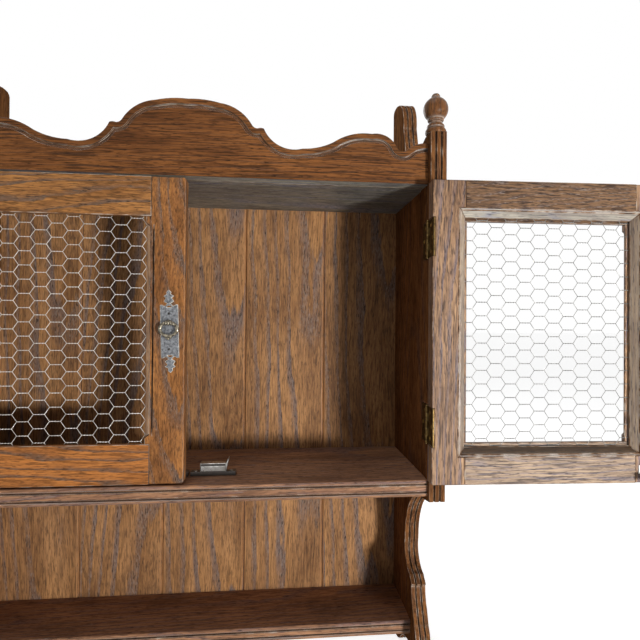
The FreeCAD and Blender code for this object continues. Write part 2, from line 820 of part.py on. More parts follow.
def rail(end):
    """Top or bottom rail with a tenon at each end."""
    blank = fuse(f"{end}_rail_blank", [
        box(f"{end}_rail_board", shoulders, ("door_face", "door_back"), rail_heights[end]),
        box(f"{end}_tenons", (f"{shoulders[0]} - tenon_length", f"{shoulders[1]} + tenon_length"),
            tenon_deep, tenon_heights[end]),
    ])
    return cut(f"{end}_rail", blank, [rebate])


def stile(side, outer, shoulder, sight, inward):
    """Upright of the frame; inward is the sign of the way from its outer edge to the net."""
    corners = [(outer, "door_bottom"), (shoulder, "door_bottom"), (shoulder, "sight_bottom"),
               (sight, "sight_bottom"), (sight, "sight_top"), (shoulder, "sight_top"),
               (shoulder, "door_top"), (outer, "door_top")]
    blank = prism(f"{side}_stile_blank", "XZ", corners, "door_face", "door_thickness")
    tools = [rebate]
    depth = "tenon_length + 0.5"
    for end, heights in tenon_heights.items():
        bottom_of_mortise = f"{shoulder} - {inward} * ({depth})"
        reach = (bottom_of_mortise, shoulder) if inward > 0 else (shoulder, bottom_of_mortise)
        tools.append(box(f"{side}_{end}_mortise", reach, tenon_deep, heights))
    tools.append(stopped_chamfer(side, sight, inward))
    return blank, tools


def stopped_chamfer(side, sight, inward):
    """Cutter for the chamfer on a stile's inner front edge, with mitred stops short of the rails."""
    slope = prism(f"{side}_chamfer_slope", "XY", [
        (f"{sight} - {inward} * (frame_moulding + 1)", "door_face - 1"),
        (f"{sight} + {inward}", "door_face - 1"),
        (f"{sight} + {inward}", "door_face + frame_moulding * 0.7 + 0.7"),
    ], "sight_bottom", "sight_top - (sight_bottom)")
    low = "sight_bottom + moulding_stop"
    high = "sight_top - moulding_stop"
    stops = prism(f"{side}_chamfer_stops", "XZ", [
        (f"{sight} + {inward}", low),
        (f"{sight} + {inward}", high),
        (f"{sight} - {inward} * (frame_moulding + 1)", f"{high} - frame_moulding"),
        (f"{sight} - {inward} * (frame_moulding + 1)", f"{low} + frame_moulding"),
    ], "door_face - 1", "door_thickness")
    return common(f"{side}_chamfer", slope, stops)


for end in rail_heights:
    door_pair(f"{end}_rail", rail(end))
blank, tools = stile("hinge", "-door_edge", shoulders[0], "sight_hinge", 1)
for height in hinges:
    tools.append(box(f"{height}_mortise", ("-door_edge", "leaf_thickness - door_leaf_face"),
                     ("door_face", "door_back"),
                     (f"{height} - hinge_height / 2", f"{height} + hinge_height / 2")))
door_pair("hinge_stile", cut("hinge_stile", blank, tools))
blank, tools = stile("meeting", "-meeting_gap / 2", shoulders[1], "sight_meet", -1)
meeting_x = value("-meeting_gap / 2")


def eased(name, piece, radius, axis, least):
    """Piece whose edges on its meeting side that run along an axis for a least length are rounded."""
    doc.recompute()
    rounded = doc.addObject("Part::Fillet", name)
    rounded.Base = piece
    rounded.Edges = [
        (i, SIZES[radius], SIZES[radius])
        for i, edge in enumerate(piece.Shape.Edges, 1)
        if abs(edge.BoundBox.XMin - meeting_x) < 1e-6 and getattr(edge.BoundBox, axis + "Length") > least
    ]
    return rounded


cornered = eased("meeting_corners", blank, "stile_corner", "Y", SIZES["door_thickness"] / 2)
meeting_square = cut("meeting_square", cornered, tools + [post_hole])
meeting_stile = eased("meeting_stile", meeting_square, "stile_round", "Z",
                      value("door_top - (door_bottom)") / 2)
door_pair("meeting_stile", meeting_stile)
door_pair("hinge_leaves", group("door_leaves", [door_leaf for case_leaf, door_leaf, pin in hinges.values()]))


# Wire net: one holed face of six-sided cells, whose long sides are the twists and lie level.
def net_cell(x, z):
    """Corners of one cell's opening about its middle."""
    strand = value("net_strand") / 2
    half = value("net_pitch") / 2 - strand
    lean = (value("net_column") - value("net_twist")) / value("net_pitch") * 2
    flat = value("net_twist") / 2 - strand * (math.sqrt(1 + lean ** 2) - lean)
    wide = flat + lean * half
    return [(x - wide, z), (x - flat, z - half), (x + flat, z - half),
            (x + wide, z), (x + flat, z + half), (x - flat, z + half)]


def net_face(across, down):
    """Holed face of a net, with one cell at bound steps from the sight line's upper meeting corner."""
    hold = value("net_hold")
    low = (value("sight_hinge") - hold, value("sight_bottom") - hold)
    high = (value("sight_meet") + hold, value("sight_top") + hold)
    margin = value("net_margin")

    def rectangle(inset):
        corners = [(low[0] + inset, low[1] + inset), (high[0] - inset, low[1] + inset),
                   (high[0] - inset, high[1] - inset), (low[0] + inset, high[1] - inset)]
        return Part.Face(wire_of(corners))

    window = rectangle(margin)
    column = value("net_column")
    pitch = value("net_pitch")
    holes = []
    for i in range(-2, int((high[0] - low[0]) / column) + 2):
        x = value("sight_meet") - value(across) - i * column
        for j in range(-2, int((high[1] - low[1]) / pitch) + 2):
            z = value("sight_top") - value(down) - (j + 0.5 * (i % 2)) * pitch
            opening = Part.Face(wire_of(net_cell(x, z))).common(window)
            for face in opening.Faces:
                if face.Area > value("net_strand") ** 2 * 4:
                    holes.append(face.OuterWire)
    print("net cells:", len(holes))
    return Part.makeFace([rectangle(0).OuterWire] + holes, "Part::FaceMakerBullseye")


def wire_of(corners):
    """Closed wire in the XZ plane."""
    points = [FreeCAD.Vector(x, 0, z) for x, z in corners]
    return Part.makePolygon(points + [points[0]])


nets = {}
for hand in ("left", "right"):
    net_sheet = doc.addObject("Part::Feature", f"{hand}_net_sheet")
    net_sheet.Shape = net_face(f"net_{hand}_across", f"net_{hand}_down")
    nets[hand] = extruded(f"{hand}_net", net_sheet, "XZ", "net_front", "net_thickness")
node("left_wire_net", nets["left"])
node("right_wire_net", swung("right_wire_net", nets["right"]))


# Mitred beads that hold the net from behind.
def bead(side, length, turn, at):
    """One bead: a stepped slope along X, mitred at both ends, then turned into its place."""
    profile = prism(f"{side}_bead_run", "YZ", [
        ("0", "0"), ("bead_width", "0"), ("bead_width", "bead_depth * 0.2"),
        ("bead_width * 0.86", "bead_depth * 0.33"), ("bead_width * 0.27", "bead_depth * 0.88"),
        ("bead_width * 0.27", "bead_depth"), ("0", "bead_depth"),
    ], f"-({length}) / 2", length)
    mitres = prism(f"{side}_bead_mitres", "XY", [
        (f"-({length}) / 2", "0"), (f"({length}) / 2", "0"),
        (f"({length}) / 2 - bead_width", "bead_width"), (f"bead_width - ({length}) / 2", "bead_width"),
    ], "0", "bead_depth")
    piece = common(f"{side}_bead", profile, mitres)
    piece.Placement.Rotation = turn
    return place(piece, *at)


wide = "sight_meet - (sight_hinge) + 2 * bead_rebate"
tall = "sight_top - (sight_bottom) + 2 * bead_rebate"
BEADS = {
    "top": (wide, FreeCAD.Rotation(FreeCAD.Vector(1, 0, 0), -90),
            ("bead_middle_x", "net_back", "sight_top + bead_rebate")),
    "bottom": (wide, FreeCAD.Rotation(FreeCAD.Vector(0, 1, 1), 180),
               ("bead_middle_x", "net_back", "sight_bottom - bead_rebate")),
    "hinge": (tall, FreeCAD.Rotation(FreeCAD.Vector(1, 1, 1), 240),
              ("sight_hinge - bead_rebate", "net_back", "bead_middle_z")),
    "meeting": (tall, FreeCAD.Rotation(FreeCAD.Vector(-1, 1, 1), 120),
                ("sight_meet + bead_rebate", "net_back", "bead_middle_z")),
}
for side, (length, turn, at) in BEADS.items():
    door_pair(f"{side}_bead", bead(side, length, turn, at))

doc.recompute()
faults = [item.Name for item in doc.Objects if "Invalid" in item.State or "Error" in item.State]
for label, piece in nodes.items():
    if piece.Shape.isNull() or not piece.Shape.isValid() or not piece.Shape.Solids:
        faults.append(label)
if faults:
    raise RuntimeError("not built: " + ", ".join(faults))
os.makedirs("parts", exist_ok=True)
for label, piece in nodes.items():
    piece.Shape.exportStep(f"parts/{label}.step")
print(len(nodes), "nodes,", sum(len(piece.Shape.Solids) for piece in nodes.values()), "solids")
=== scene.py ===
# %% [markdown]
# # A wall curio cabinet in dark stained oak
# The cabinet hangs on a wall: two scrolled and reeded sides, a cupboard behind two doors
# filled with hexagonal wire netting, an open niche below, a shaped crest board and two
# turned finials. This lesson finishes it in Blender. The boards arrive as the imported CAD
# model; here they get their finish, their eased arrises and all the small metalwork.

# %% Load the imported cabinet
import math
import random

import bmesh
import bpy
from mathutils import Matrix, Vector


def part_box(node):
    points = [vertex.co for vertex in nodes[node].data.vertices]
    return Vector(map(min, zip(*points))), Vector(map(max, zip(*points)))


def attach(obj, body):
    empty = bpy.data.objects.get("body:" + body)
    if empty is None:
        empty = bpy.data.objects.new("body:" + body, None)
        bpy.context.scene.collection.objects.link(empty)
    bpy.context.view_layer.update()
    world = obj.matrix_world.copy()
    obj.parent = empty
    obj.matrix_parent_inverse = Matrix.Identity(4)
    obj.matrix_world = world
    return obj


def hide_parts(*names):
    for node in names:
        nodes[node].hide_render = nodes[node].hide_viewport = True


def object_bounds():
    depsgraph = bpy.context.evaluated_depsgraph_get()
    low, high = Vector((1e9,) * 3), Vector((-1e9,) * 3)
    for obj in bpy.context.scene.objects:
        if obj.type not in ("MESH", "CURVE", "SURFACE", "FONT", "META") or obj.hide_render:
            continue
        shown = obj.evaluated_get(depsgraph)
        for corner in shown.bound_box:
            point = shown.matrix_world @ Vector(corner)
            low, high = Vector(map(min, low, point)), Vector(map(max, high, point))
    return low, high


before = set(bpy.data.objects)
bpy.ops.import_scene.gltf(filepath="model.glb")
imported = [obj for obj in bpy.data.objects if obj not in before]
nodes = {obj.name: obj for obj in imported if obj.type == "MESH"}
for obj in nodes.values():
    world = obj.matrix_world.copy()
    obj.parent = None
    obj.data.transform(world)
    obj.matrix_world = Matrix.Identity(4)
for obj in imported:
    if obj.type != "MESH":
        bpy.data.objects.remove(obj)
cad_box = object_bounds()

# %% [markdown]
# ## Camera
# The picture was taken at the height of the handles, a little to the right of the middle, with
# a wide lens. A camera can be aimed by hand until edges line up; here its place, turn and lens
# come from the corners of the boards, solved backwards from their right angles.

# %% Set up the camera
CAMERA_PLACE = Vector((0.113527, -0.831197, -0.300950))
CAMERA_YAW, CAMERA_PITCH, CAMERA_ROLL = -5.419, 0.422, -0.427
CAMERA_LENS = 27.126


def turn(degrees, axis):
    return Matrix.Rotation(math.radians(degrees), 4, axis)


camera = bpy.data.objects.new("camera", bpy.data.cameras.new("camera"))
camera.data.lens = CAMERA_LENS
camera.data.clip_start = 0.01
camera.matrix_world = (
    Matrix.Translation(CAMERA_PLACE)
    @ turn(CAMERA_YAW, "Z")
    @ turn(CAMERA_PITCH, "X")
    @ turn(CAMERA_ROLL, "Y")
    @ turn(90, "X")
)
bpy.context.scene.collection.objects.link(camera)
bpy.context.scene.camera = camera
bpy.context.scene.view_settings.view_transform = "Standard"
print("camera at", [round(x, 3) for x in CAMERA_PLACE])

# %% [markdown]
# ## Helpers for node materials
# A material is a small network of nodes. A few helpers keep the later cells short: they start a
# material, add a node and link or set its inputs, make a ramp of colours or greys, blend two
# colours and do sums.


# %% Node helpers
def new_finish(name):
    """An empty node material, with its tree and its shader."""
    finish = bpy.data.materials.new(name)
    finish.use_nodes = True
    return finish, finish.node_tree, finish.node_tree.nodes["Principled BSDF"]


def add(tree, kind, inputs, **settings):
    """One node. An input is a plain value, or an output socket to link."""
    made = tree.nodes.new("ShaderNode" + kind)
    for key, value in settings.items():
        setattr(made, key, value)
    for key, value in inputs.items():
        if isinstance(value, bpy.types.NodeSocket):
            tree.links.new(value, made.inputs[key])
        else:
            made.inputs[key].default_value = value
    return made


def ramp(tree, factor, stops):
    """A colour ramp through (position, colour) stops."""
    made = add(tree, "ValToRGB", {0: factor})
    elements = made.color_ramp.elements
    for element, stop in zip(elements, (stops[0], stops[-1])):
        element.position, element.color = stop[0], (*stop[1], 1)
    for position, colour in stops[1:-1]:
        elements.new(position).color = (*colour, 1)
    return made.outputs[0]


def grey_ramp(tree, factor, stops):
    return ramp(tree, factor, [(position, (level,) * 3) for position, level in stops])


def blend(tree, factor, first, second, mode="MIX"):
    """Blends two colours."""
    colours = {6: first, 7: second}
    for key, value in colours.items():
        if not isinstance(value, bpy.types.NodeSocket):
            colours[key] = (*value, 1)
    return add(tree, "Mix", {0: factor, **colours}, data_type="RGBA", blend_type=mode).outputs[2]


def maths(tree, operation, *values):
    return add(tree, "Math", dict(enumerate(values)), operation=operation).outputs[0]


print("node helpers ready")

# %% [markdown]
# ## Studio
# The photograph has a plain white background. The world is white to the camera and in
# reflections, and a mild grey as a light; the floor is pale and keeps the cabinet's shadow.
# One lamp stands to the right in front, as the light did, and two weak wide ones fill the top
# and the rear.

# %% Build the studio
WORLD_LIGHT = 0.20
FLOOR_SIZE, FLOOR_GAP = 30.0, 0.0005
FLOOR_GREY, FLOOR_ROUGHNESS = 0.8, 0.9
FLOOR_LIFT = 0.72  # white added to the floor for the camera only
LAMPS = {  # place, aim, size, power
    "key_lamp": ((1.25, -2.10, -0.72), (0.0, -0.1, -0.33), 0.32, 54),
    "top_lamp": ((-0.4, -0.9, 1.9), (0.0, -0.1, -0.3), 1.6, 16),
    "rear_lamp": ((-0.9, 2.1, 0.5), (0.0, -0.1, -0.4), 1.6, 24),
}


def seen_directly(tree):
    """1 for camera, mirror and glass rays, which see the white background."""
    path = add(tree, "LightPath", {}).outputs
    mirror = maths(tree, "MAXIMUM", path["Is Glossy Ray"], path["Is Transmission Ray"])
    return maths(tree, "MAXIMUM", path["Is Camera Ray"], mirror)


world = bpy.data.worlds.new("white_studio")
world.use_nodes = True
bpy.context.scene.world = world
sky = world.node_tree
light_sky = add(sky, "Background", {0: (1, 1, 1, 1), 1: WORLD_LIGHT})
white_sky = add(sky, "Background", {0: (1, 1, 1, 1), 1: 1.0})
sky_mix = add(sky, "MixShader", {0: seen_directly(sky), 1: light_sky.outputs[0], 2: white_sky.outputs[0]})
sky.links.new(sky_mix.outputs[0], sky.nodes["World Output"].inputs[0])

floor_mesh = bmesh.new()
bmesh.ops.create_grid(floor_mesh, x_segments=1, y_segments=1, size=FLOOR_SIZE)
bmesh.ops.translate(floor_mesh, verts=floor_mesh.verts, vec=(0, 0, cad_box[0].z - FLOOR_GAP))
floor = bpy.data.objects.new("studio_floor", bpy.data.meshes.new("studio_floor"))
floor_mesh.to_mesh(floor.data)
floor_mesh.free()
bpy.context.scene.collection.objects.link(floor)

pale_floor, tree, shader = new_finish("pale_floor")
shader.inputs["Base Color"].default_value = (FLOOR_GREY, FLOOR_GREY, FLOOR_GREY, 1)
shader.inputs["Roughness"].default_value = FLOOR_ROUGHNESS
glow = add(tree, "Emission", {0: (1, 1, 1, 1), 1: maths(tree, "MULTIPLY", seen_directly(tree), FLOOR_LIFT)})
both = add(tree, "AddShader", {0: shader.outputs[0], 1: glow.outputs[0]})
tree.links.new(both.outputs[0], tree.nodes["Material Output"].inputs[0])
floor.data.materials.append(pale_floor)

for lamp_name, (spot, aim, size, power) in LAMPS.items():
    lamp = bpy.data.objects.new(lamp_name, bpy.data.lights.new(lamp_name, "AREA"))
    lamp.data.shape, lamp.data.size, lamp.data.energy = "DISK", size, power
    lamp.location = spot
    lamp.rotation_euler = (Vector(aim) - Vector(spot)).to_track_quat("-Z", "Y").to_euler()
    bpy.context.scene.collection.objects.link(lamp)
print("studio with", len(LAMPS), "lamps")

# %% [markdown]
# ## Stained oak
# Oak has wide growth rings: each spring leaves a band of open pores, which soaks up dark stain
# and dust, and each summer a dense band that stays orange-brown. A picture could be wrapped
# round the boards, but a procedural wood runs through the solid, so that faces, edges and end
# grain agree. The rings are circles round a pith that lies outside the board and leans a few
# degrees, which is what draws the pointed arches on a flat-sawn face.

# %% Coordinates along the grain
GRAIN_FRAMES = {  # (along, through): rows that turn the part's axes to along, through, across
    ("x", "y"): ((1, 0, 0), (0, 1, 0), (0, 0, 1)),
    ("z", "y"): ((0, 0, 1), (0, 1, 0), (-1, 0, 0)),
    ("z", "x"): ((0, 0, 1), (1, 0, 0), (0, 1, 0)),
    ("x", "z"): ((1, 0, 0), (0, 0, 1), (0, -1, 0)),
}
LEAN_SHARES = (0.7, 1.3)  # of the lean that boards of one kind have
SIDE_LEAN = 0.8  # degrees either way
LOG_REACH, PITH_REACH = 0.4, 0.012  # metres either way, along the log and across it


def grain_place(tree, node_name, along, through, lean, pith):
    """Coordinates that run along the grain, with the pith beside the board."""
    low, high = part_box(node_name)
    log = random.Random(node_name)
    lean *= log.choice((-1, 1)) * log.uniform(*LEAN_SHARES)
    leaning = turn(lean, "Z") @ turn(log.uniform(-SIDE_LEAN, SIDE_LEAN), "Y")
    rows = leaning.to_3x3() @ Matrix(GRAIN_FRAMES[along, through])
    spot = log.uniform(-LOG_REACH, LOG_REACH)
    beside = Vector((spot, pith[0], pith[1] + log.uniform(-PITH_REACH, PITH_REACH)))
    home = beside - rows @ ((low + high) / 2)
    where = add(tree, "TexCoord", {}).outputs["Object"]
    turned = add(tree, "Mapping", {"Vector": where, "Location": home, "Rotation": rows.to_euler()})
    return turned.outputs[0]


def streaks(tree, place, along, across, detail, roughness=0.5, colour=False):
    """Noise drawn out along the grain, in metres along and across."""
    drawn = add(tree, "Mapping", {"Vector": place, "Scale": (1 / along, 1 / across, 1 / across)})
    noise = add(tree, "TexNoise", {"Vector": drawn.outputs[0], "Scale": 1.0, "Detail": detail,
                                   "Roughness": roughness})
    return noise.outputs[1 if colour else 0]


def shifted(tree, place, noise, amount):
    """Moves coordinates across the grain by a noise colour."""
    moved = add(tree, "VectorMath", {0: noise, 1: (0, amount, amount), 2: place}, operation="MULTIPLY_ADD")
    return moved.outputs[0]


def tinted(colour, tone):
    return tuple(channel * factor for channel, factor in zip(colour, tone))


print("grain runs", len(GRAIN_FRAMES), "ways")

# %% [markdown]
# The finish is laid in layers: a ground that shifts between brown and amber, long thin dark
# fibres, the spring bands of the rings in a cool grey-brown, and short pores that are dark, or
# pale where wax has dried in them. Each layer is a noise drawn out along the grain, given as
# its length, width, detail and roughness; the rings are first bent by three noises, the last
# number of each being how far it pushes. On the crest, white specks are painted glints.
# Grooves and inner corners are darkened with painted shade, and their lips carry a painted
# highlight, pale, or amber at the joints of the planks. The occlusion node finds them, told to
# look at its own board only. Faces of the crest that look down are greyed like the ceiling
# behind them, a painted reflection. The same layers drive the roughness and a slight relief,
# because pores stay open under the lacquer.

# %% The oak of one board
WAVE_TURNS = 20 / (2 * math.pi)  # turns that Blender's ring wave makes in a unit
UMBER = (0.050, 0.021, 0.009)
CHESTNUT = (0.180, 0.070, 0.022)
AMBER = (0.455, 0.191, 0.057)
BAND_GREY = (0.104, 0.068, 0.053)
PORE_AND_SHADE_BLACK = (0.020, 0.011, 0.007)
WAX_AND_HIGHLIGHT = (0.34, 0.29, 0.25)
GLINT_WHITE = (0.72, 0.68, 0.62)
# Painted reflection: the crest's faces that look down are greyed like the ceiling.
REFLECTION_GREY_BELOW = {"crest_board": (2.0, 5.0, 13.5)}  # tone of the faces that look down
BENDS = ((0.80, 0.12, 1.0, 0.030), (0.20, 0.030, 1.0, 0.016), (0.040, 0.0050, 3.0, 0.0046))
BROAD, FIBRE, LINE = (0.20, 0.040, 2.0), (0.055, 0.0026, 3.0, 0.6), (0.045, 0.0018, 3.0, 0.6)
PORE, DRIED_WAX = (0.011, 0.0013, 2.0), (0.007, 0.0009, 1.0)
FIBRE_SHARE, BROAD_SHARE = 0.45, 0.55  # in the ground
GROUND_SPAN, LINE_SPAN = (0.36, 0.62), (0.48, 0.60)  # noise levels from one colour to the next
SPRING_PORES, OTHER_PORES = 0.40, 0.46  # how dark
FIBRE_ROUGHER, PORE_ROUGHER = 0.20, 0.25
YEAR = [(0.0, 0.0), (0.06, 1.0), (0.20, 0.80), (0.38, 0.14), (1.0, 0.0)]  # darkness through a ring
PATCHES = [(0.34, 0.35), (0.58, 1.0)]  # the bands fade in places
PORE_EDGE, WAX_EDGE, DOWNWARD = [(0.55, 0), (0.65, 1)], [(0.52, 0), (0.64, 1)], [(0.90, 0), (0.97, 1)]
GLINTS_PER_METRE, GLINT_SIZE = 22.0, (0.016, 0.024)
GROOVE_REACH = 0.005
GROOVE_HIGHLIGHT = [(0.70, 0.0), (0.79, 0.75), (0.90, 0.75), (0.97, 0.0)]
GROOVE_SHADE = [(0.35, 0.95), (0.76, 0.0)]
RELIEF, RELIEF_DEPTH = 0.30, 0.0005


def crevice(tree, reach):
    """1 on open faces, less in grooves and inner corners."""
    return add(tree, "AmbientOcclusion", {"Distance": reach}, samples=12, only_local=True).outputs["AO"]


def looks(tree, axis):
    """How far a face looks along one of the part's axes, from -1 to 1."""
    normal = add(tree, "VectorTransform", {0: add(tree, "NewGeometry", {}).outputs["True Normal"]},
                 vector_type="NORMAL", convert_from="WORLD", convert_to="OBJECT").outputs[0]
    return add(tree, "SeparateXYZ", {0: normal}).outputs["xyz".index(axis)]


def stained_oak(name, along, through, tone, lines, bands, ring, pith, lean, wax, glints, sheen, polish):
    """Rings, fibres and pores of one board, with its own place in the log."""
    finish, tree, shader = new_finish(name + "_oak")
    place = grain_place(tree, name, along, through, lean, pith)
    bent = [place]
    for length, width, detail, amount in BENDS:
        noise = streaks(tree, place, length, width, detail, colour=True)
        bent.append(shifted(tree, bent[-1], noise, amount))
    wavy, ragged = bent[1], bent[-1]
    rings = add(tree, "TexWave", {"Vector": ragged, "Scale": 1 / (ring * WAVE_TURNS), "Distortion": 0.0},
                wave_type="RINGS", rings_direction="X", wave_profile="SAW").outputs[1]
    spring = grey_ramp(tree, rings, YEAR)
    broad, fibre, line, pore = (streaks(tree, wavy, *sizes) for sizes in (BROAD, FIBRE, LINE, PORE))
    shade = maths(tree, "MULTIPLY_ADD", fibre, FIBRE_SHARE, maths(tree, "MULTIPLY", broad, BROAD_SHARE))
    ground_colours = (tinted(CHESTNUT, tone), tinted(AMBER, tone))
    ground = ramp(tree, shade, list(zip(GROUND_SPAN, ground_colours)))
    dark_line = grey_ramp(tree, line, list(zip(LINE_SPAN, (0, lines))))
    lined = blend(tree, dark_line, ground, tinted(UMBER, tone))
    patchy = maths(tree, "MULTIPLY", spring, grey_ramp(tree, broad, PATCHES))
    band_share = maths(tree, "MULTIPLY", patchy, bands)
    banded = blend(tree, band_share, lined, tinted(BAND_GREY, tone))
    darkness = maths(tree, "MULTIPLY_ADD", spring, SPRING_PORES, OTHER_PORES)
    dark_share = maths(tree, "MULTIPLY", grey_ramp(tree, pore, PORE_EDGE), darkness)
    pored = blend(tree, dark_share, banded, tinted(PORE_AND_SHADE_BLACK, tone))
    if wax:
        dried = grey_ramp(tree, streaks(tree, wavy, *DRIED_WAX), WAX_EDGE)
        wax_share = maths(tree, "MULTIPLY", maths(tree, "MULTIPLY", dried, spring), wax)
        pored = blend(tree, wax_share, pored, WAX_AND_HIGHLIGHT)
    # Painted glints: white specks, like light caught in the lacquer's pores.
    if glints:
        spots = add(tree, "TexVoronoi", {"Vector": place, "Scale": GLINTS_PER_METRE, "Randomness": 1.0})
        glint = grey_ramp(tree, spots.outputs["Distance"], [(GLINT_SIZE[0], glints), (GLINT_SIZE[1], 0)])
        pored = blend(tree, glint, pored, GLINT_WHITE)
    # Painted reflection: faces that look down are greyed.
    if name in REFLECTION_GREY_BELOW:
        down = grey_ramp(tree, maths(tree, "MULTIPLY", looks(tree, "z"), -1.0), DOWNWARD)
        pored = blend(tree, down, pored, REFLECTION_GREY_BELOW[name], "MULTIPLY")
    # Painted shade: grooves and inner corners are darkened.
    hollow = crevice(tree, GROOVE_REACH)
    # Painted highlight: a pale line along the lips of grooves, amber on the planks.
    highlight_colour = tinted(AMBER, tone) if "plank" in name else WAX_AND_HIGHLIGHT
    lip_lit = blend(tree, grey_ramp(tree, hollow, GROOVE_HIGHLIGHT), pored, highlight_colour)
    groove_shaded = blend(tree, grey_ramp(tree, hollow, GROOVE_SHADE), lip_lit, PORE_AND_SHADE_BLACK)
    tree.links.new(groove_shaded, shader.inputs["Base Color"])
    fibrous = maths(tree, "MULTIPLY_ADD", fibre, FIBRE_ROUGHER, polish)
    rough = maths(tree, "MULTIPLY_ADD", dark_share, PORE_ROUGHER, fibrous)
    tree.links.new(rough, shader.inputs["Roughness"])
    relief = maths(tree, "SUBTRACT", maths(tree, "MULTIPLY", fibre, 0.5), dark_share)
    bump = add(tree, "Bump", {"Strength": RELIEF, "Distance": RELIEF_DEPTH, "Height": relief})
    tree.links.new(bump.outputs[0], shader.inputs["Normal"])
    shader.inputs["Specular IOR Level"].default_value = sheen
    return finish


print("oak recipe ready")

# %% [markdown]
# ## Boards
# Every board is cut from another part of the log, so each kind has its own tone, ring width
# and distance to the pith. Stiles and planks run upright; rails, crest and shelves run along
# the cabinet. The ceiling is toned grey, a painted reflection. The open door's stiles are paler
# and greyer with painted glare and its rails darker with painted shade; the beads are greyer,
# the level ones pale with painted glare. The open door's bottom rail is paler still with painted
# glare and its bottom bead darker with painted shade, while the closed door's rails differ from
# their kind by a stain. One kind, the highlit bead, isn't a board: it waits for the ridges of
# the stiles, and its paler tone is a painted highlight.

# %% Finish the boards
KINDS = {  # along, through, tone, lines, bands, ring width, pith, lean, wax, flecks, sheen, roughness
    "side": ("z", "x", (0.66, 0.66, 0.76), 0.6, 0.6, 0.010, (0.05, 0.02), 3, 0.0, 0.0, 0.0, 0.40),
    # ceiling: its grey tone is a painted reflection
    "ceiling": ("x", "z", (0.80, 1.80, 4.50), 0.9, 0.6, 0.014, (0.06, 0.03), 2, 1.0, 0.0, 0.15, 0.30),
    "shelf": ("x", "z", (1.02, 1.25, 2.20), 0.5, 0.5, 0.007, (0.06, 0.03), 2, 0.3, 0.0, 0.08, 0.34),
    "crest": ("x", "y", (0.58, 0.53, 0.50), 0.8, 0.5, 0.0070, (0.03, 0.15), 1, 0.0, 0.9, 0.08, 0.34),
    "finial": ("z", "y", (0.54, 0.53, 0.58), 0.4, 0.4, 0.007, (0.03, 0.02), 2, 0.0, 0.0, 0.10, 0.05),
    "stile": ("z", "y", (0.98, 0.98, 0.98), 0.5, 1.0, 0.013, (0.03, 0.012), -9, 0.3, 0.0, 0.08, 0.34),
    "rail": ("x", "y", (0.92, 0.92, 0.92), 0.6, 0.9, 0.0085, (0.04, 0.012), 4, 0.2, 0.0, 0.08, 0.34),
    # grey_stile: its pale grey tone is painted glare
    "grey_stile": ("z", "y", (1.20, 1.72, 3.1), 0.8, 0.8, 0.009, (0.04, 0.012), 3, 0.3, 0.0, 0.10, 0.34),
    # grey_rail: its darker tone is painted shade
    "grey_rail": ("x", "y", (0.55, 0.74, 1.27), 0.8, 0.4, 0.0042, (0.04, 0.012), 2, 0.5, 0.0, 0.10, 0.34),
    "upright_bead": ("z", "y", (1.15, 2.05, 4.6), 0.3, 0.3, 0.004, (0.05, 0.02), 2, 0.1, 0.0, 0.30, 0.24),
    # level_bead: its pale grey tone is painted glare
    "level_bead": ("x", "y", (1.36, 2.95, 8.0), 0.3, 0.3, 0.004, (0.05, 0.02), 2, 0.1, 0.0, 0.30, 0.24),
    # the next kind's paler tone is a painted highlight
    "rubbed_bead": ("z", "y", (1.35, 1.85, 3.1), 0.4, 0.3, 0.005, (0.05, 0.02), 2, 0.1, 0.0, 0.30, 0.20),
    "plank": ("z", "y", (1.12, 1.34, 1.76), 0.5, 0.80, 0.0165, (0.04, 0.02), 3, 0.4, 0.0, 0.08, 0.34),
}
# Painted light: right_bottom_rail's paler tone is painted glare and right_bottom_bead's darker tone is
# painted shade; the left rails differ by a stain.
STAIN_AND_PAINTED_LIGHT = {"left_top_rail": (1.06, 1.12, 1.14), "left_bottom_rail": (1.22, 1.08, 0.92),
         "right_bottom_rail": (2.0, 2.5, 3.2), "right_bottom_bead": (0.12, 0.075, 0.045)}
BOARDS = {"side_panel_left": "side", "side_panel_right": "side", "top_board": "ceiling",
          "waist_board": "shelf", "lower_shelf": "shelf", "crest_board": "crest",
          "finial_left": "finial", "finial_right": "finial"}
for side, prefix in (("left", ""), ("right", "grey_")):
    BOARDS |= {f"{side}_{end}_stile": prefix + "stile" for end in ("hinge", "meeting")}
    BOARDS |= {f"{side}_{end}_rail": prefix + "rail" for end in ("top", "bottom")}
    BOARDS |= {f"{side}_{end}_bead": "upright_bead" for end in ("hinge", "meeting")}
    BOARDS |= {f"{side}_{end}_bead": "level_bead" for end in ("top", "bottom")}
BOARDS |= {f"back_plank_{number}": "plank" for number in range(1, 6)}


def dress(name, *finishes):
    """Gives a CAD piece its materials."""
    nodes[name].data.materials.clear()
    for finish in finishes:
        nodes[name].data.materials.append(finish)


for name, kind in BOARDS.items():
    along, through, tone, *rest = KINDS[kind]
    dress(name, stained_oak(name, along, through, tinted(tone, STAIN_AND_PAINTED_LIGHT.get(name, (1, 1, 1))), *rest))
print("oak on", len(BOARDS), "boards")

# %% [markdown]
# ## Eased arrises
# No sharp corner survives in a house: edges are sanded once and then rubbed pale by hands.
# The CAD boards have true corners, so modifiers ease them: loose triangles are welded, flat
# ones merged, then each sharp edge is bevelled and its faces take a paler, worn oak, one for
# each kind of board; on the planks it is orange, a painted highlight along their joints. Wear
# runs along the grain, so a bevel that looks along it, as at a rail's shoulder, stays dark, and
# one inside a groove is darkened with painted shade. The crest's outline is dark too, and only
# the lips of its flute are pale. A bevel modifier normally shrinks until the shortest edge
# of a piece can bear it; the scrolled boards have very short edges, so there it may overlap,
# and the crest's shortest steps are welded away first, because they would fold over.

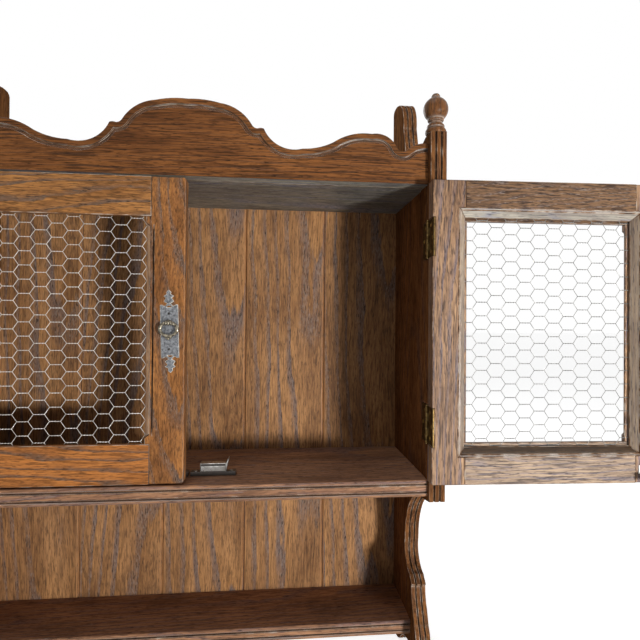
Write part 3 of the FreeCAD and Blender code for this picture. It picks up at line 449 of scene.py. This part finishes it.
# %% Ease and wear the edges
EASED_EDGE = {"side": 0.0007, "shelf": 0.0005, "crest": 0.0005, "plank": 0.0005}
USUAL_EDGE = 0.0008
MERGE, CREST_MERGE = 0.00001, 0.0010
FLAT_ANGLE, SHARP_ANGLE = math.radians(0.4), math.radians(32)
CURVED = ("side", "crest", "finial")  # kinds whose edges run every way
SCROLLED = ("side", "crest")
WEAR = {"side": -0.06, "shelf": -0.10, "crest": -0.01, "stile": -0.08, "grey_stile": -0.08,
        "plank": 0.10}  # less or more than usual
DARK_WOOD, BROWN_WOOD = (0.06, 0.026, 0.010), (0.26, 0.14, 0.070)
PALE_WOOD, ORANGE_WOOD = (0.52, 0.43, 0.35), (0.42, 0.20, 0.080)
DULL_EDGE = (0.055, 0.024, 0.010)
RUB_SCALE = 55.0  # patches of wear in a metre
FLUTE_REACH, SHADE_REACH = 0.008, 0.004


def worn_oak(name, along, wear, pale):
    """Oak where the stain is rubbed off in patches; given a grain, only on edges along it."""
    finish, tree, shader = new_finish(name)
    where = add(tree, "TexCoord", {}).outputs["Object"]
    patches = {"Vector": where, "Scale": RUB_SCALE, "Detail": 4.0, "Roughness": 0.6}
    rubbed = add(tree, "TexNoise", patches).outputs[0]
    colour = ramp(tree, rubbed, [(0.34 - wear, DARK_WOOD), (0.46 - wear, BROWN_WOOD), (0.58 - wear, pale)])
    if name == "crest_arris":
        outline = grey_ramp(tree, crevice(tree, FLUTE_REACH), [(0.90, 0), (0.97, 1)])
        colour = blend(tree, outline, colour, DULL_EDGE)
    if along:
        share = maths(tree, "ABSOLUTE", looks(tree, along))
        colour = blend(tree, grey_ramp(tree, share, [(0.20, 0), (0.36, 1)]), colour, DULL_EDGE)
    # Painted shade: bevels inside grooves and inner corners are darkened.
    painted_shade = grey_ramp(tree, crevice(tree, SHADE_REACH), [(0.44, 1.0), (0.62, 0.0)])
    tree.links.new(blend(tree, painted_shade, colour, PORE_AND_SHADE_BLACK), shader.inputs["Base Color"])
    tree.links.new(maths(tree, "MULTIPLY_ADD", rubbed, -0.2, 0.5), shader.inputs["Roughness"])
    shader.inputs["Specular IOR Level"].default_value = 0.25
    return finish


def ease(board, width, segments=2, clamp=True, join=MERGE):
    """Rounds the sharp edges of a piece and gives them its second material."""
    board.modifiers.new("join_triangles", "WELD").merge_threshold = join
    flat = board.modifiers.new("merge_flats", "DECIMATE")
    flat.decimate_type, flat.angle_limit = "DISSOLVE", FLAT_ANGLE
    round_off = board.modifiers.new("ease_edges", "BEVEL")
    round_off.width, round_off.segments, round_off.material = width, segments, 1
    round_off.limit_method, round_off.angle_limit = "ANGLE", SHARP_ANGLE
    round_off.use_clamp_overlap = clamp
    board.modifiers.new("even_shading", "WEIGHTED_NORMAL").keep_sharp = True


arrises = {}
for kind in dict.fromkeys(BOARDS.values()):
    along = "" if kind in CURVED else KINDS[kind][0]
    # The planks' orange edges are a painted highlight along their joints.
    pale = ORANGE_WOOD if kind == "plank" else PALE_WOOD
    arrises[kind] = worn_oak(kind + "_arris", along, WEAR.get(kind, 0.0), pale)
for name, kind in BOARDS.items():
    nodes[name].data.materials.append(arrises[kind])
    ease(nodes[name], EASED_EDGE.get(kind, USUAL_EDGE), clamp=kind not in SCROLLED,
         join=CREST_MERGE if kind == "crest" else MERGE)
print("eased", len(BOARDS), "boards with", len(arrises), "finishes")

# %% [markdown]
# ## Metal finishes
# The hinges are brass that has gone brown and is darkened further with painted shade, the
# handle plates pewter-grey iron with rubbed edges, the wire zinc in two copies: a pale one with
# painted light for the closed door's net and a dark one with painted shade for the open door's.
# One recipe serves all: a bright and a dull metal in soft blotches, where the dull one is also
# the rougher. A second material on the bevelled edges keeps them bright, as on the boards.

# %% Aged metals
DENT, DENT_DEPTH = 0.12, 0.0002
DULL_ROUGHER, BRIGHT_SMOOTHER = 0.10, 0.15


def aged_metal(name, bright, dull, roughness, patch=0.004, metallic=1.0):
    """Metal with blotches of a duller, rougher patina."""
    finish, tree, shader = new_finish(name)
    where = add(tree, "TexCoord", {}).outputs["Object"]
    blotch = add(tree, "TexNoise", {"Vector": where, "Scale": 1 / patch, "Detail": 4.0, "Roughness": 0.6})
    worn_off = grey_ramp(tree, blotch.outputs[0], [(0.36, 0), (0.64, 1)])
    tree.links.new(blend(tree, worn_off, dull, bright), shader.inputs["Base Color"])
    rough = maths(tree, "MULTIPLY_ADD", worn_off, -BRIGHT_SMOOTHER, roughness + DULL_ROUGHER)
    tree.links.new(rough, shader.inputs["Roughness"])
    bump = add(tree, "Bump", {"Strength": DENT, "Distance": DENT_DEPTH, "Height": blotch.outputs[0]})
    tree.links.new(bump.outputs[0], shader.inputs["Normal"])
    shader.inputs["Metallic"].default_value = metallic
    return finish


# The hinge brass is aged brown and darkened further with painted shade.
brown_brass = aged_metal("brown_brass", (0.16, 0.10, 0.035), (0.045, 0.028, 0.012), 0.42)
rubbed_brass = aged_metal("rubbed_brass", (0.50, 0.38, 0.16), (0.26, 0.18, 0.07), 0.32)
pewter_iron = aged_metal("pewter_iron", (0.250, 0.258, 0.272), (0.080, 0.082, 0.088), 0.48, 0.0030, 0.6)
rubbed_iron = aged_metal("rubbed_iron", (0.66, 0.63, 0.55), (0.34, 0.31, 0.26), 0.36, 0.006, 0.7)
ring_bronze = aged_metal("ring_bronze", (0.34, 0.30, 0.225), (0.045, 0.037, 0.026), 0.26, 0.003, 0.9)
lit_zinc = aged_metal("lit_zinc", (0.86, 0.82, 0.76), (0.56, 0.52, 0.47), 0.40, 0.012, 0.4)
shaded_zinc = aged_metal("shaded_zinc", (0.34, 0.33, 0.31), (0.15, 0.145, 0.135), 0.45, 0.012, 0.5)
# Plain steel is darkened with painted shade.
plain_steel = aged_metal("plain_steel", (0.44, 0.43, 0.41), (0.24, 0.23, 0.21), 0.32, 0.008)
catch_brown = aged_metal("catch_brown", (0.045, 0.036, 0.030), (0.022, 0.018, 0.016), 0.42, 0.010, 0.0)
nail_black = aged_metal("nail_black", (0.060, 0.056, 0.052), (0.020, 0.018, 0.016), 0.50, 0.003, 0.8)
print("metal recipes ready")

# %% [markdown]
# The CAD pieces of metal take these finishes, and thin bevels on the hinge leaves, catches and
# strikes shine in the light. The handles follow later, because they are made anew.

# %% Finish the metal pieces
EASED_METAL = 0.0004
METALS = {"hanger_plates": plain_steel, "catch_plates": plain_steel,
          "catch_left": catch_brown, "catch_right": catch_brown}
EDGES = {brown_brass: rubbed_brass, plain_steel: plain_steel, catch_brown: catch_brown}
for side in ("left", "right"):
    METALS |= dict.fromkeys((f"case_leaves_{side}", f"{side}_hinge_leaves"), brown_brass)
    METALS |= {f"{side}_strike_plate": plain_steel}
    dress(f"hinge_pins_{side}", rubbed_brass)
for name, finish in METALS.items():
    dress(name, finish, EDGES[finish])
    ease(nodes[name], EASED_METAL, 1)
print("metal on", len(METALS) + 2, "pieces")

# %% [markdown]
# ## Wire netting
# The doors hold hexagonal netting: neighbouring wires are twisted round each other for half
# an inch, part, and meet the next ones. A flat grid with holes would do from afar, but the
# twists catch the light like rope. So one repeat of one wire is modelled: a ring of wire is
# spun with a forward step, which makes a coil, run on at a slant, and coiled again. Where the
# wire bends, the ring leans into the plane that halves the bend, so it keeps its thickness.

# %% One repeat of one wire
WIRE = 0.00078
COLUMN, ROW, TWIST = 0.0197, 0.018, 0.0142
COIL = WIRE / 2  # from the middle of a twist to each of its wires
SLANT = Vector((COLUMN - TWIST, 0, ROW / 2 - 2 * COIL))
TWIST_TURNS, TWIST_STEPS = 2, 8


def only(kind, geometry):
    return [item for item in geometry if isinstance(item, kind)]


def ring_of(geometry):
    """The ring of edges among geometry that an operator returned."""
    corners = set(only(bmesh.types.BMVert, geometry))
    return [edge for edge in only(bmesh.types.BMEdge, geometry) if corners.issuperset(edge.verts)]


def corners_of(ring):
    return list({corner for edge in ring for corner in edge.verts})


def lean_ring(mesh, ring, times):
    """Leans a ring of wire by a number of half bends."""
    lean = Matrix.Identity(4)
    lean[0][2] = -times * math.tan(math.atan2(SLANT.z, SLANT.x) / 2)
    corners = corners_of(ring)
    middle = sum((corner.co for corner in corners), Vector()) / len(corners)
    bmesh.ops.transform(mesh, matrix=lean, space=Matrix.Translation(-middle), verts=corners)


def coil(mesh, ring, height):
    """Winds a ring of wire round the middle line of a twist."""
    made = bmesh.ops.spin(mesh, geom=ring + corners_of(ring), cent=(0, 0, height), axis=(1, 0, 0),
                          dvec=(TWIST / TWIST_STEPS, 0, 0), angle=TWIST_TURNS * math.tau, steps=TWIST_STEPS)
    return ring_of(made["geom_last"])


def run_on(mesh, ring, step):
    """Draws a ring of wire straight on."""
    made = bmesh.ops.extrude_edge_only(mesh, edges=ring)["geom"]
    ring = ring_of(made)
    bmesh.ops.translate(mesh, verts=corners_of(ring), vec=step)
    return ring


def wire_repeat(mesh):
    """A wire that is coiled, rises, is coiled half a row higher and falls again."""
    bmesh.ops.create_circle(mesh, segments=4, radius=WIRE / 2, cap_ends=False)
    bmesh.ops.rotate(mesh, verts=mesh.verts, cent=(0, 0, 0), matrix=turn(90, "Y"))
    bmesh.ops.translate(mesh, verts=mesh.verts, vec=(-TWIST / 2, 0, COIL))
    ring = mesh.edges[:]
    lean_ring(mesh, ring, -1)
    ring = coil(mesh, ring, 0)
    lean_ring(mesh, ring, 2)
    ring = run_on(mesh, ring, SLANT)
    ring = coil(mesh, ring, ROW / 2)
    lean_ring(mesh, ring, -2)
    run_on(mesh, ring, Vector((SLANT.x, 0, -SLANT.z)))


print("one repeat is", 2 * COLUMN * 1000, "mm long")

# %% [markdown]
# The other wire of a row is the same one turned half round its twists. Copies side by side
# and above each other, welded where they meet, make the netting, which is cut to the rebate
# of its door. The right door is a mirror image that stands open, so its net, and later its
# handle, are made closed on the left and then mirrored and swung about the hinge pins.

# %% Weave both nets
PIN_X, PIN_Y, OPEN_ANGLE = 0.3174, -0.202, 178
swing = (Matrix.Translation((PIN_X, PIN_Y, 0)) @ turn(OPEN_ANGLE, "Z")
         @ Matrix.Translation((-PIN_X, -PIN_Y, 0)) @ Matrix.Scale(-1, 4, (1, 0, 0)))
NET_CELLS = {"left": (-0.0639, -0.1756), "right": (-0.0708, -0.1811)}  # middle of one cell
WIRE_WELD = WIRE / 20
USUAL_CREASE, NO_CREASE = 40, 180  # degrees from which an edge is shaded sharp


def repeated(mesh, step, times):
    """Copies a mesh along a step."""
    first = mesh.verts[:] + mesh.edges[:] + mesh.faces[:]
    for number in range(1, times):
        copy = bmesh.ops.duplicate(mesh, geom=first)["geom"]
        bmesh.ops.translate(mesh, verts=only(bmesh.types.BMVert, copy), vec=step * number)


def woven_net(low, high, cell):
    """Netting between two corners, with one cell's middle at a given X and Z."""
    mesh = bmesh.new()
    wire_repeat(mesh)
    half = bmesh.ops.duplicate(mesh, geom=mesh.verts[:] + mesh.edges[:] + mesh.faces[:])["geom"]
    bmesh.ops.rotate(mesh, verts=only(bmesh.types.BMVert, half), cent=(0, 0, 0), matrix=turn(180, "X"))
    across = math.ceil((cell[0] - low.x) / (2 * COLUMN)) + 1
    below = math.ceil((cell[1] - low.z) / ROW) + 1
    bmesh.ops.translate(mesh, verts=mesh.verts,
                        vec=(cell[0] - across * 2 * COLUMN, 0, cell[1] - (below + 0.5) * ROW))
    repeated(mesh, Vector((2 * COLUMN, 0, 0)), across + 2)
    bmesh.ops.remove_doubles(mesh, verts=mesh.verts, dist=WIRE_WELD)
    repeated(mesh, Vector((0, 0, ROW)), below + 3)
    flat = (high.y - low.y) / (2 * WIRE)
    bmesh.ops.scale(mesh, verts=mesh.verts, vec=(1, flat, 1))
    bmesh.ops.translate(mesh, verts=mesh.verts, vec=(0, (low.y + high.y) / 2, 0))
    for corner, way in ((low, (-1, 0, 0)), (high, (1, 0, 0)), (low, (0, 0, -1)), (high, (0, 0, 1))):
        bmesh.ops.bisect_plane(mesh, geom=mesh.verts[:] + mesh.edges[:] + mesh.faces[:], plane_co=corner,
                               plane_no=way, clear_outer=True)
    bmesh.ops.holes_fill(mesh, edges=mesh.edges, sides=0)
    return mesh


def piece(name, mesh, body, finish, side="left", crease=USUAL_CREASE):
    """Turns a bmesh into an object that rides on a body; right-hand ones are swung into place."""
    if side == "right":
        bmesh.ops.transform(mesh, matrix=swing, verts=mesh.verts)
    bmesh.ops.recalc_face_normals(mesh, faces=mesh.faces)
    for face in mesh.faces:
        face.smooth = True
    made = bpy.data.objects.new(name, bpy.data.meshes.new(name))
    mesh.to_mesh(made.data)
    mesh.free()
    made.data.set_sharp_from_angle(angle=math.radians(crease))
    made.data.materials.append(finish)
    bpy.context.scene.collection.objects.link(made)
    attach(made, body)
    print(name, "has", len(made.data.polygons), "faces")
    return made


net_low, net_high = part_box("left_wire_net")
# The closed door's net takes a pale zinc with painted light, the open door's a dark zinc with painted
# shade.
for (side, cell), zinc in zip(NET_CELLS.items(), (lit_zinc, shaded_zinc)):
    net = piece(f"{side}_netting", woven_net(net_low, net_high, cell), f"{side}_door",
                zinc, side, NO_CREASE)
    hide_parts(f"{side}_wire_net")

# %% [markdown]
# ## Bead on the stiles
# A groove runs beside the stopped chamfer of each stile, so that the wood between them reads
# as a bead, and it runs out at both ends where the cutter was lifted. The stiles are copied,
# merged and grooved: the front is cut along the groove's sides and ends, the strip between the
# cuts is pressed in, and the ends of its floor are drawn back to ramps. Last, the ridge beside
# the groove is rounded; it and the chamfer take a paler finish, a painted highlight.

# %% Groove the stiles
DOOR_FACE = -0.197
SIGHTS = {"hinge": (-0.2681, -1), "meeting": (-0.0504, 1)}  # sight edge, way from it into the wood
GROOVE_SIDES, GROOVE_ENDS = (0.0084, 0.0101), (-0.4470, -0.1745)
GROOVE_DEPTH, GROOVE_RAMP = 0.0026, 0.012
RIDGE, RIDGE_ROUND = 0.00564, 0.0018  # from the sight edge to the chamfer's ridge; its rounding
CHAMFER_LOOK = (-0.86, -0.75)  # how far the chamfer looks forward
NEAR = 0.0001
# The ridge and the chamfer take a paler finish, a painted highlight.
HIGHLIT_SLOT = 2  # place of the rubbed finish among a stile's materials


def front_faces(mesh):
    mesh.normal_update()
    return [face for face in mesh.faces
            if face.normal.y < -0.99 and abs(face.calc_center_median().y - DOOR_FACE) < MERGE]


def cut_front(mesh, spot, way):
    """Cuts the front of a door piece along a plane."""
    front = front_faces(mesh)
    rims = {edge for face in front for edge in face.edges}
    rims |= {corner for face in front for corner in face.verts}
    bmesh.ops.bisect_plane(mesh, geom=front + list(rims), plane_co=spot, plane_no=way)


def grooved_stile(end):
    """A left-hand stile with its groove."""
    sight, inward = SIGHTS[end]
    mesh = bmesh.new()
    mesh.from_mesh(nodes[f"left_{end}_stile"].data)
    bmesh.ops.remove_doubles(mesh, verts=mesh.verts, dist=MERGE)
    bmesh.ops.dissolve_limit(mesh, angle_limit=FLAT_ANGLE, verts=mesh.verts, edges=mesh.edges)
    near, far = sorted(sight + inward * reach for reach in GROOVE_SIDES)
    low, high = GROOVE_ENDS
    for x in (near, far):
        cut_front(mesh, (x, 0, 0), (1, 0, 0))
    for z in (low, high):
        cut_front(mesh, (0, 0, z), (0, 0, 1))
    middles = {face: face.calc_center_median() for face in front_faces(mesh)}
    strip = [face for face, middle in middles.items() if near < middle.x < far and low < middle.z < high]
    pressed = bmesh.ops.extrude_face_region(mesh, geom=strip)["geom"]
    bmesh.ops.delete(mesh, geom=strip, context="FACES")
    groove_floor = only(bmesh.types.BMVert, pressed)
    bmesh.ops.translate(mesh, verts=groove_floor, vec=(0, GROOVE_DEPTH, 0))
    for z, back in ((low, GROOVE_RAMP), (high, -GROOVE_RAMP)):
        corners = [corner for corner in groove_floor if abs(corner.co.z - z) < MERGE]
        bmesh.ops.translate(mesh, verts=corners, vec=(0, 0, back))
    ridge = Vector((sight + inward * RIDGE, DOOR_FACE))
    crown = [edge for edge in mesh.edges
             if all((corner.co.xy - ridge).length < NEAR for corner in edge.verts)]
    rounded = bmesh.ops.bevel(mesh, geom=crown, offset=RIDGE_ROUND, offset_type="OFFSET", segments=4,
                              profile=0.5, affect="EDGES", material=-1)
    mesh.normal_update()
    chamfer = [face for face in mesh.faces
               if CHAMFER_LOOK[0] < face.normal.y < CHAMFER_LOOK[1] and abs(face.normal.z) < 0.1]
    for face in chamfer + rounded["faces"]:
        face.material_index = HIGHLIT_SLOT
    return mesh


for side in ("left", "right"):
    for end in SIGHTS:
        stile = f"{side}_{end}_stile"
        oak, arris = nodes[stile].data.materials
        rubbed_bead = stained_oak(stile, *KINDS["rubbed_bead"])
        rubbed_bead.name = f"{side}_{end}_rubbed_bead"
        upright = piece(f"{side}_{end}_upright", grooved_stile(end), f"{side}_door", oak, side)
        upright.data.materials.append(arris)
        upright.data.materials.append(rubbed_bead)
        ease(upright, USUAL_EDGE, clamp=False)
        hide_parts(stile)

# %% [markdown]
# ## Ring pulls
# Each handle plate was nailed on a little crooked. It carries a fan of five small lobes, from
# which an oval ring hangs, with a ball between two beads at its lowest point for the finger.
# The plate is a copy of its CAD mesh, merged and turned. The ring is a circle of wire spun to
# a hoop and then widened; lobes and beads are spheres, drawn out; the neck is a cone between
# the lobes and the plate.

# %% Make the ring pulls
EYE = Vector((-0.0199, -0.2048, -0.30095))
PLATE_FACE = -0.1982
PLATE_LEAN, PLATE_EDGE = turn(-1.8, "Y"), 0.0005
NECK_RADII = (0.0036, 0.0021)
LOBE_HALF_WIDTH, LOBE_HALF_DEPTH, LOBE_FOOT = 0.0019, 0.0030, 0.0042
RING_TUBE, RING_HALF_WIDTH, RING_HALF_HEIGHT = 0.0019, 0.0108, 0.0086
LOBES = ((-5.9, 2.6), (-3.1, 3.4), (0, 3.9), (3.1, 3.4), (5.9, 2.6))  # mm along the axis, half height
DROPS = ((0, -20.6, 1.9), (-2.9, -19.6, 1.2), (2.9, -19.6, 1.2))  # mm across, mm down, radius


def bead(mesh, middle, radius, segments=14):
    """A ball, or with three radii an egg."""
    made = bmesh.ops.create_uvsphere(mesh, u_segments=segments, v_segments=segments // 2, radius=1)
    radii = radius if isinstance(radius, tuple) else (radius,) * 3
    bmesh.ops.scale(mesh, verts=made["verts"], vec=radii)
    bmesh.ops.translate(mesh, verts=made["verts"], vec=middle)


def crooked_plate():
    """The handle plate, turned about its middle."""
    mesh = bmesh.new()
    mesh.from_mesh(nodes["left_handle_plate"].data)
    bmesh.ops.remove_doubles(mesh, verts=mesh.verts, dist=MERGE)
    low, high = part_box("left_handle_plate")
    bmesh.ops.rotate(mesh, verts=mesh.verts, cent=(low + high) / 2, matrix=PLATE_LEAN)
    return mesh


def barrel():
    """Lobes on the ring's axis and their neck."""
    mesh = bmesh.new()
    reach = PLATE_FACE - EYE.y
    neck = bmesh.ops.create_cone(mesh, cap_ends=True, segments=16, radius1=NECK_RADII[0],
                                 radius2=NECK_RADII[1], depth=reach)
    bmesh.ops.rotate(mesh, verts=neck["verts"], cent=(0, 0, 0), matrix=turn(90, "X"))
    bmesh.ops.translate(mesh, verts=neck["verts"], vec=EYE + Vector((0, reach / 2, 0)))
    for along, half in LOBES:
        middle = EYE + Vector((along / 1000, 0, half / 1000 - LOBE_FOOT))
        bead(mesh, middle, (LOBE_HALF_WIDTH, LOBE_HALF_DEPTH, half / 1000))
    return mesh


def oval_ring():
    """The hanging ring with its ball and two smaller beads."""
    mesh = bmesh.new()
    hoop = bmesh.ops.create_circle(mesh, segments=10, radius=RING_TUBE, cap_ends=False)
    bmesh.ops.translate(mesh, verts=hoop["verts"], vec=(RING_HALF_HEIGHT, 0, 0))
    bmesh.ops.spin(mesh, geom=mesh.verts[:] + mesh.edges[:], cent=(0, 0, 0), axis=(0, 1, 0), angle=math.tau,
                   steps=40, use_merge=True)
    bmesh.ops.scale(mesh, verts=mesh.verts, vec=(RING_HALF_WIDTH / RING_HALF_HEIGHT, 1, 1))
    bmesh.ops.translate(mesh, verts=mesh.verts, vec=EYE - Vector((0, 0, RING_HALF_HEIGHT)))
    for across, down, radius in DROPS:
        bead(mesh, EYE + Vector((across, 0, down)) / 1000, radius / 1000, 12)
    return mesh


for side in ("left", "right"):
    plate = piece(f"{side}_pewter_plate", crooked_plate(), f"{side}_door", pewter_iron, side)
    plate.data.materials.append(rubbed_iron)
    ease(plate, PLATE_EDGE, 1, clamp=False)
    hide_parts(f"{side}_handle_plate")
    knuckle = piece(f"{side}_barrel", barrel(), f"{side}_door", ring_bronze, side)
    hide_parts(f"{side}_ring_post")
    pull = piece(f"{side}_oval_ring", oval_ring(), f"{side}_ring", ring_bronze, side)
    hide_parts(f"{side}_ring_pull")

# %% [markdown]
# ## Nails and screws
# The handle plates are nailed, everything else is screwed on with slotted screws. A screw head
# is a disc that is raised, drawn in to a low dome, cut twice across and pressed down between
# the cuts, which leaves the slot.

# %% Slotted heads
DOME, SLOT, SLOT_DEPTH = 0.35, 0.14, 0.45  # shares of the radius, the radius and the rise


def screw_head(mesh, matrix, radius, rise):
    """One slotted head, whose axis is the local Z of a matrix."""
    head = bmesh.new()
    bmesh.ops.create_circle(head, segments=16, radius=radius, cap_ends=True)
    made = bmesh.ops.extrude_face_region(head, geom=head.faces[:])["geom"]
    bmesh.ops.translate(head, verts=only(bmesh.types.BMVert, made), vec=(0, 0, rise * 0.5))
    top = only(bmesh.types.BMFace, made)
    bmesh.ops.inset_individual(head, faces=top, thickness=radius * DOME, depth=rise * 0.5)
    for edge in (-SLOT, SLOT):
        bmesh.ops.bisect_plane(head, geom=head.verts[:] + head.edges[:] + head.faces[:],
                               plane_co=(edge * radius, 0, 0), plane_no=(1, 0, 0))
    middles = {face: face.calc_center_median() for face in head.faces}
    strip = [face for face, middle in middles.items()
             if abs(middle.x) < 0.9 * SLOT * radius and middle.z > 0.4 * rise]
    pressed = bmesh.ops.extrude_face_region(head, geom=strip)["geom"]
    bmesh.ops.delete(head, geom=strip, context="FACES")
    bmesh.ops.translate(head, verts=only(bmesh.types.BMVert, pressed), vec=(0, 0, -rise * SLOT_DEPTH))
    bmesh.ops.transform(head, matrix=matrix, verts=head.verts)
    kept = bpy.data.meshes.new("screw_head")
    head.to_mesh(kept)
    head.free()
    mesh.from_mesh(kept)
    bpy.data.meshes.remove(kept)


def facing(spot, way, roll):
    """A place whose local Z looks a given way."""
    aimed = Vector(way).to_track_quat("Z", "Y").to_matrix().to_4x4()
    return Matrix.Translation(spot) @ aimed @ turn(roll, "Z")


def screws(name, places, body, finish, size, side="left"):
    """Screw heads of one (radius, rise) at (spot, way) places; their slots ended at any angle."""
    mesh = bmesh.new()
    fitter = random.Random(name)
    for spot, way in places:
        screw_head(mesh, facing(spot, way, fitter.uniform(0, 180)), *size)
    return piece(name, mesh, body, finish, side)


print("heads can be made")

# %% [markdown]
# Each hinge leaf takes three screws in a triangle, each catch two, and each strike one. The
# handle's two nails are hammered flat: balls pressed into the plate. The right door's screws are
# placed on the closed left door and swung over, as its net was.

# %% Drive nails and screws
NAILS = ((-0.0210, -0.2894), (-0.0202, -0.3352))  # X and Z on the handle plate
NAIL_RADIUS, NAIL_FLATNESS = 0.0016, 0.45
HINGE_HEIGHTS = (-0.18725, -0.43425)
LEAF_SCREWS = ((-0.191, 0.017), (-0.1835, 0.0), (-0.191, -0.017))  # Y, and Z from the hinge's middle
CASE_LEAF_X, DOOR_LEAF_X = 0.3186, -0.3162
CATCH_X, CATCH_Y, CATCH_Z = (0.0078, 0.0562), -0.1548, -0.5045
STRIKE_SPOT = (-0.032, -0.176, -0.4898)
LEAF_HEAD, CATCH_HEAD = (0.0027, 0.0004), (0.0026, 0.0010)  # radius, rise


def nails():
    """Flat domes on the handle plate."""
    mesh = bmesh.new()
    for x, z in NAILS:
        bead(mesh, Vector((x, 0, z)), NAIL_RADIUS, 12)
    bmesh.ops.scale(mesh, verts=mesh.verts, vec=(1, NAIL_FLATNESS, 1))
    bmesh.ops.translate(mesh, verts=mesh.verts, vec=(0, PLATE_FACE, 0))
    return mesh


leaf_spots = [(y, height + rise) for height in HINGE_HEIGHTS for y, rise in LEAF_SCREWS]
case_spots = [((sign * CASE_LEAF_X, y, z), (-sign, 0, 0)) for sign in (-1, 1) for y, z in leaf_spots]
screws("case_leaf_screws", case_spots, "case", rubbed_brass, LEAF_HEAD)
catch_spots = [((sign * x, CATCH_Y, CATCH_Z), (0, 0, 1)) for sign in (-1, 1) for x in CATCH_X]
screws("catch_screws", catch_spots, "case", plain_steel, CATCH_HEAD)
door_spots = [((DOOR_LEAF_X, y, z), (-1, 0, 0)) for y, z in leaf_spots]
strike_spots = [(STRIKE_SPOT, (0, 1, 0))]
for side in ("left", "right"):
    door = f"{side}_door"
    screws(f"{side}_leaf_screws", door_spots, door, rubbed_brass, LEAF_HEAD, side)
    screws(f"{side}_strike_screw", strike_spots, door, plain_steel, CATCH_HEAD, side)
    piece(f"{side}_nails", nails(), door, nail_black, side)
